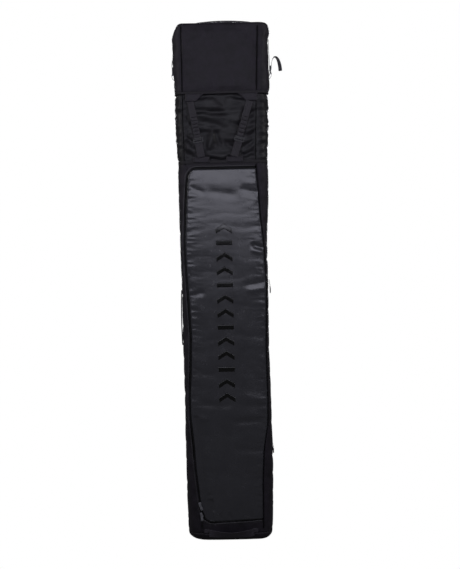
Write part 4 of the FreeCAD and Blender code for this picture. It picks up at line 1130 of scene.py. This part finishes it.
for name, z in (("upper", 1130), ("lower", 420)):
    left_half = [(-117, 60.4, z), (-50, 60.2, z), (21, 60.4, z)]
    right_half = [(117, 58.6, z), (50, 58.4, z), (-29, 58.6, z)]
    ribbon(f"{name}_ski_web_left", left_half, (0, 0, 1), FORWARD, 25, 1.4, WEBBING, "bag_body",
           f"{name}_ski_strap_left")
    ribbon(f"{name}_ski_web_right", right_half, (0, 0, 1), FORWARD, 25, 1.2, WEBBING, f"{name}_ski_strap",
           f"{name}_ski_strap_right")

# -------- the row of glossy shapes on the door


def film_shape(name, points, tall):
    """A thin glossy shape laid on the door along a bent line; its height is measured straight up."""
    line = spaced(np.array([(x, 0, z) for x, z in points]), 2.0)
    rows = np.linspace(-tall / 2, tall / 2, 7)
    grid = line[:, None] + np.array([0, 0, 1.0]) * rows[None, :, None]
    grid[:, :, 1] = front_y(grid[:, :, 0], grid[:, :, 2]) - 1.3
    faces = [(a, d, c, b) for a, b, c, d in grid_faces(len(line), len(rows))]
    piece = new_piece(name, grid.reshape(-1, 3), faces, FILM)
    thicken(piece, 0.5)
    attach(piece, "door")


for k in range(13):
    z = 520 + 51 * k
    if k % 3 == 2:
        film_shape(f"film_bar_{k:02d}", [(-32, z), (26, z)], 17)
    else:
        film_shape(f"film_chevron_{k:02d}", [(-32, z - 9), (-3, z + 9), (26, z - 9)], 17)

# -------- materials of the other nodes

for material, nodes in (
    (BOARD, ["base_stiffener"]),
    (DARK_METAL, ["left_hook", "right_hook", "upper_d_ring", "lower_d_ring"]),
    (PLASTIC, ["left_ladder_lock", "right_ladder_lock"]),
    (ZIP_METAL, ["upper_slider", "lower_slider", "upper_pull", "lower_pull"]),
    (COIL, ["upper_pull_cord", "lower_pull_cord"]),
):
    for node in nodes:
        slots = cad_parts[node].data.materials
        slots.clear()
        slots.append(material)

# -------- floor, lights and camera


def stage_object(name, operator, **shape):
    """A white surface that only the camera sees, so it lights nothing and casts nothing."""
    form = bmesh.new()
    operator(form, **shape)
    mesh = bpy.data.meshes.new(name)
    form.to_mesh(mesh)
    form.free()
    piece = bpy.data.objects.new(name, mesh)
    bpy.context.collection.objects.link(piece)
    mesh.materials.append(white)
    piece.visible_diffuse = False
    piece.visible_glossy = False
    piece.visible_shadow = False


white = bpy.data.materials.new("studio_white")
white.use_nodes = True
tree = white.node_tree
tree.nodes.remove(tree.nodes["Principled BSDF"])
glow = tree.nodes.new("ShaderNodeEmission")
glow.inputs["Color"].default_value = (1, 1, 1, 1)
glow.inputs["Strength"].default_value = 1.0
tree.links.new(glow.outputs[0], tree.nodes["Material Output"].inputs["Surface"])
STAGE_RADIUS = 18.0
stage_object("floor", bmesh.ops.create_circle, cap_ends=True, radius=STAGE_RADIUS, segments=64)
stage_object("studio_dome", bmesh.ops.create_uvsphere, u_segments=48, v_segments=24, radius=STAGE_RADIUS)


def area_light(name, place, target, width, height, power, color=(1, 1, 1)):
    lamp = bpy.data.lights.new(name, "AREA")
    lamp.shape = "RECTANGLE"
    lamp.size, lamp.size_y = width, height
    lamp.energy = power
    lamp.color = color
    light = bpy.data.objects.new(name, lamp)
    light.location = place
    light.rotation_euler = (Vector(target) - Vector(place)).to_track_quat("-Z", "Y").to_euler()
    light.visible_camera = False
    bpy.context.collection.objects.link(light)


area_light("key_softbox", (0.0, -2.4, 1.98), (0, 0, 1.98), 2.2, 1.4, 28, (0.86, 0.86, 1.0))
area_light("left_strip", (-2.4, -0.6, 2.3), (0, 0, 1.7), 1.0, 1.4, 19)
area_light("right_strip", (2.4, -0.6, 2.3), (0, 0, 1.7), 1.0, 1.4, 18)
area_light("back_softbox", (0.0, 4.6, 2.2), (0, 0, 1.2), 3.0, 2.6, 330, (0.95, 0.94, 1.0))

scene = bpy.context.scene
scene.world = bpy.data.worlds.new("studio_world")
scene.world.use_nodes = True
background = scene.world.node_tree.nodes["Background"]
background.inputs["Color"].default_value = (1, 1, 1, 1)
background.inputs["Strength"].default_value = 0.1
scene.view_settings.view_transform = "Standard"
scene.view_settings.look = "None"

# The camera stands level in front of the bag, and is rolled so that the bag leans a little in view.
VIEW_HEIGHT, AIM_X, AIM_Z, DISTANCE, LEAN = 2.0635, 0.0152, 0.929, 7.5, math.radians(1.159)
SENSOR = 36.0
camera_data = bpy.data.cameras.new("camera")
camera_data.sensor_width = SENSOR
camera_data.lens = SENSOR * DISTANCE / VIEW_HEIGHT
camera_data.clip_end = 60.0
camera = bpy.data.objects.new("camera", camera_data)
bpy.context.collection.objects.link(camera)
right = Vector((math.cos(LEAN), 0, -math.sin(LEAN)))
up = Vector((math.sin(LEAN), 0, math.cos(LEAN)))
back = Vector((0, -1, 0))
turn = Matrix((right, up, back)).transposed().to_4x4()
camera.matrix_world = Matrix.Translation((AIM_X, -0.065 - DISTANCE, AIM_Z)) @ turn
scene.camera = camera
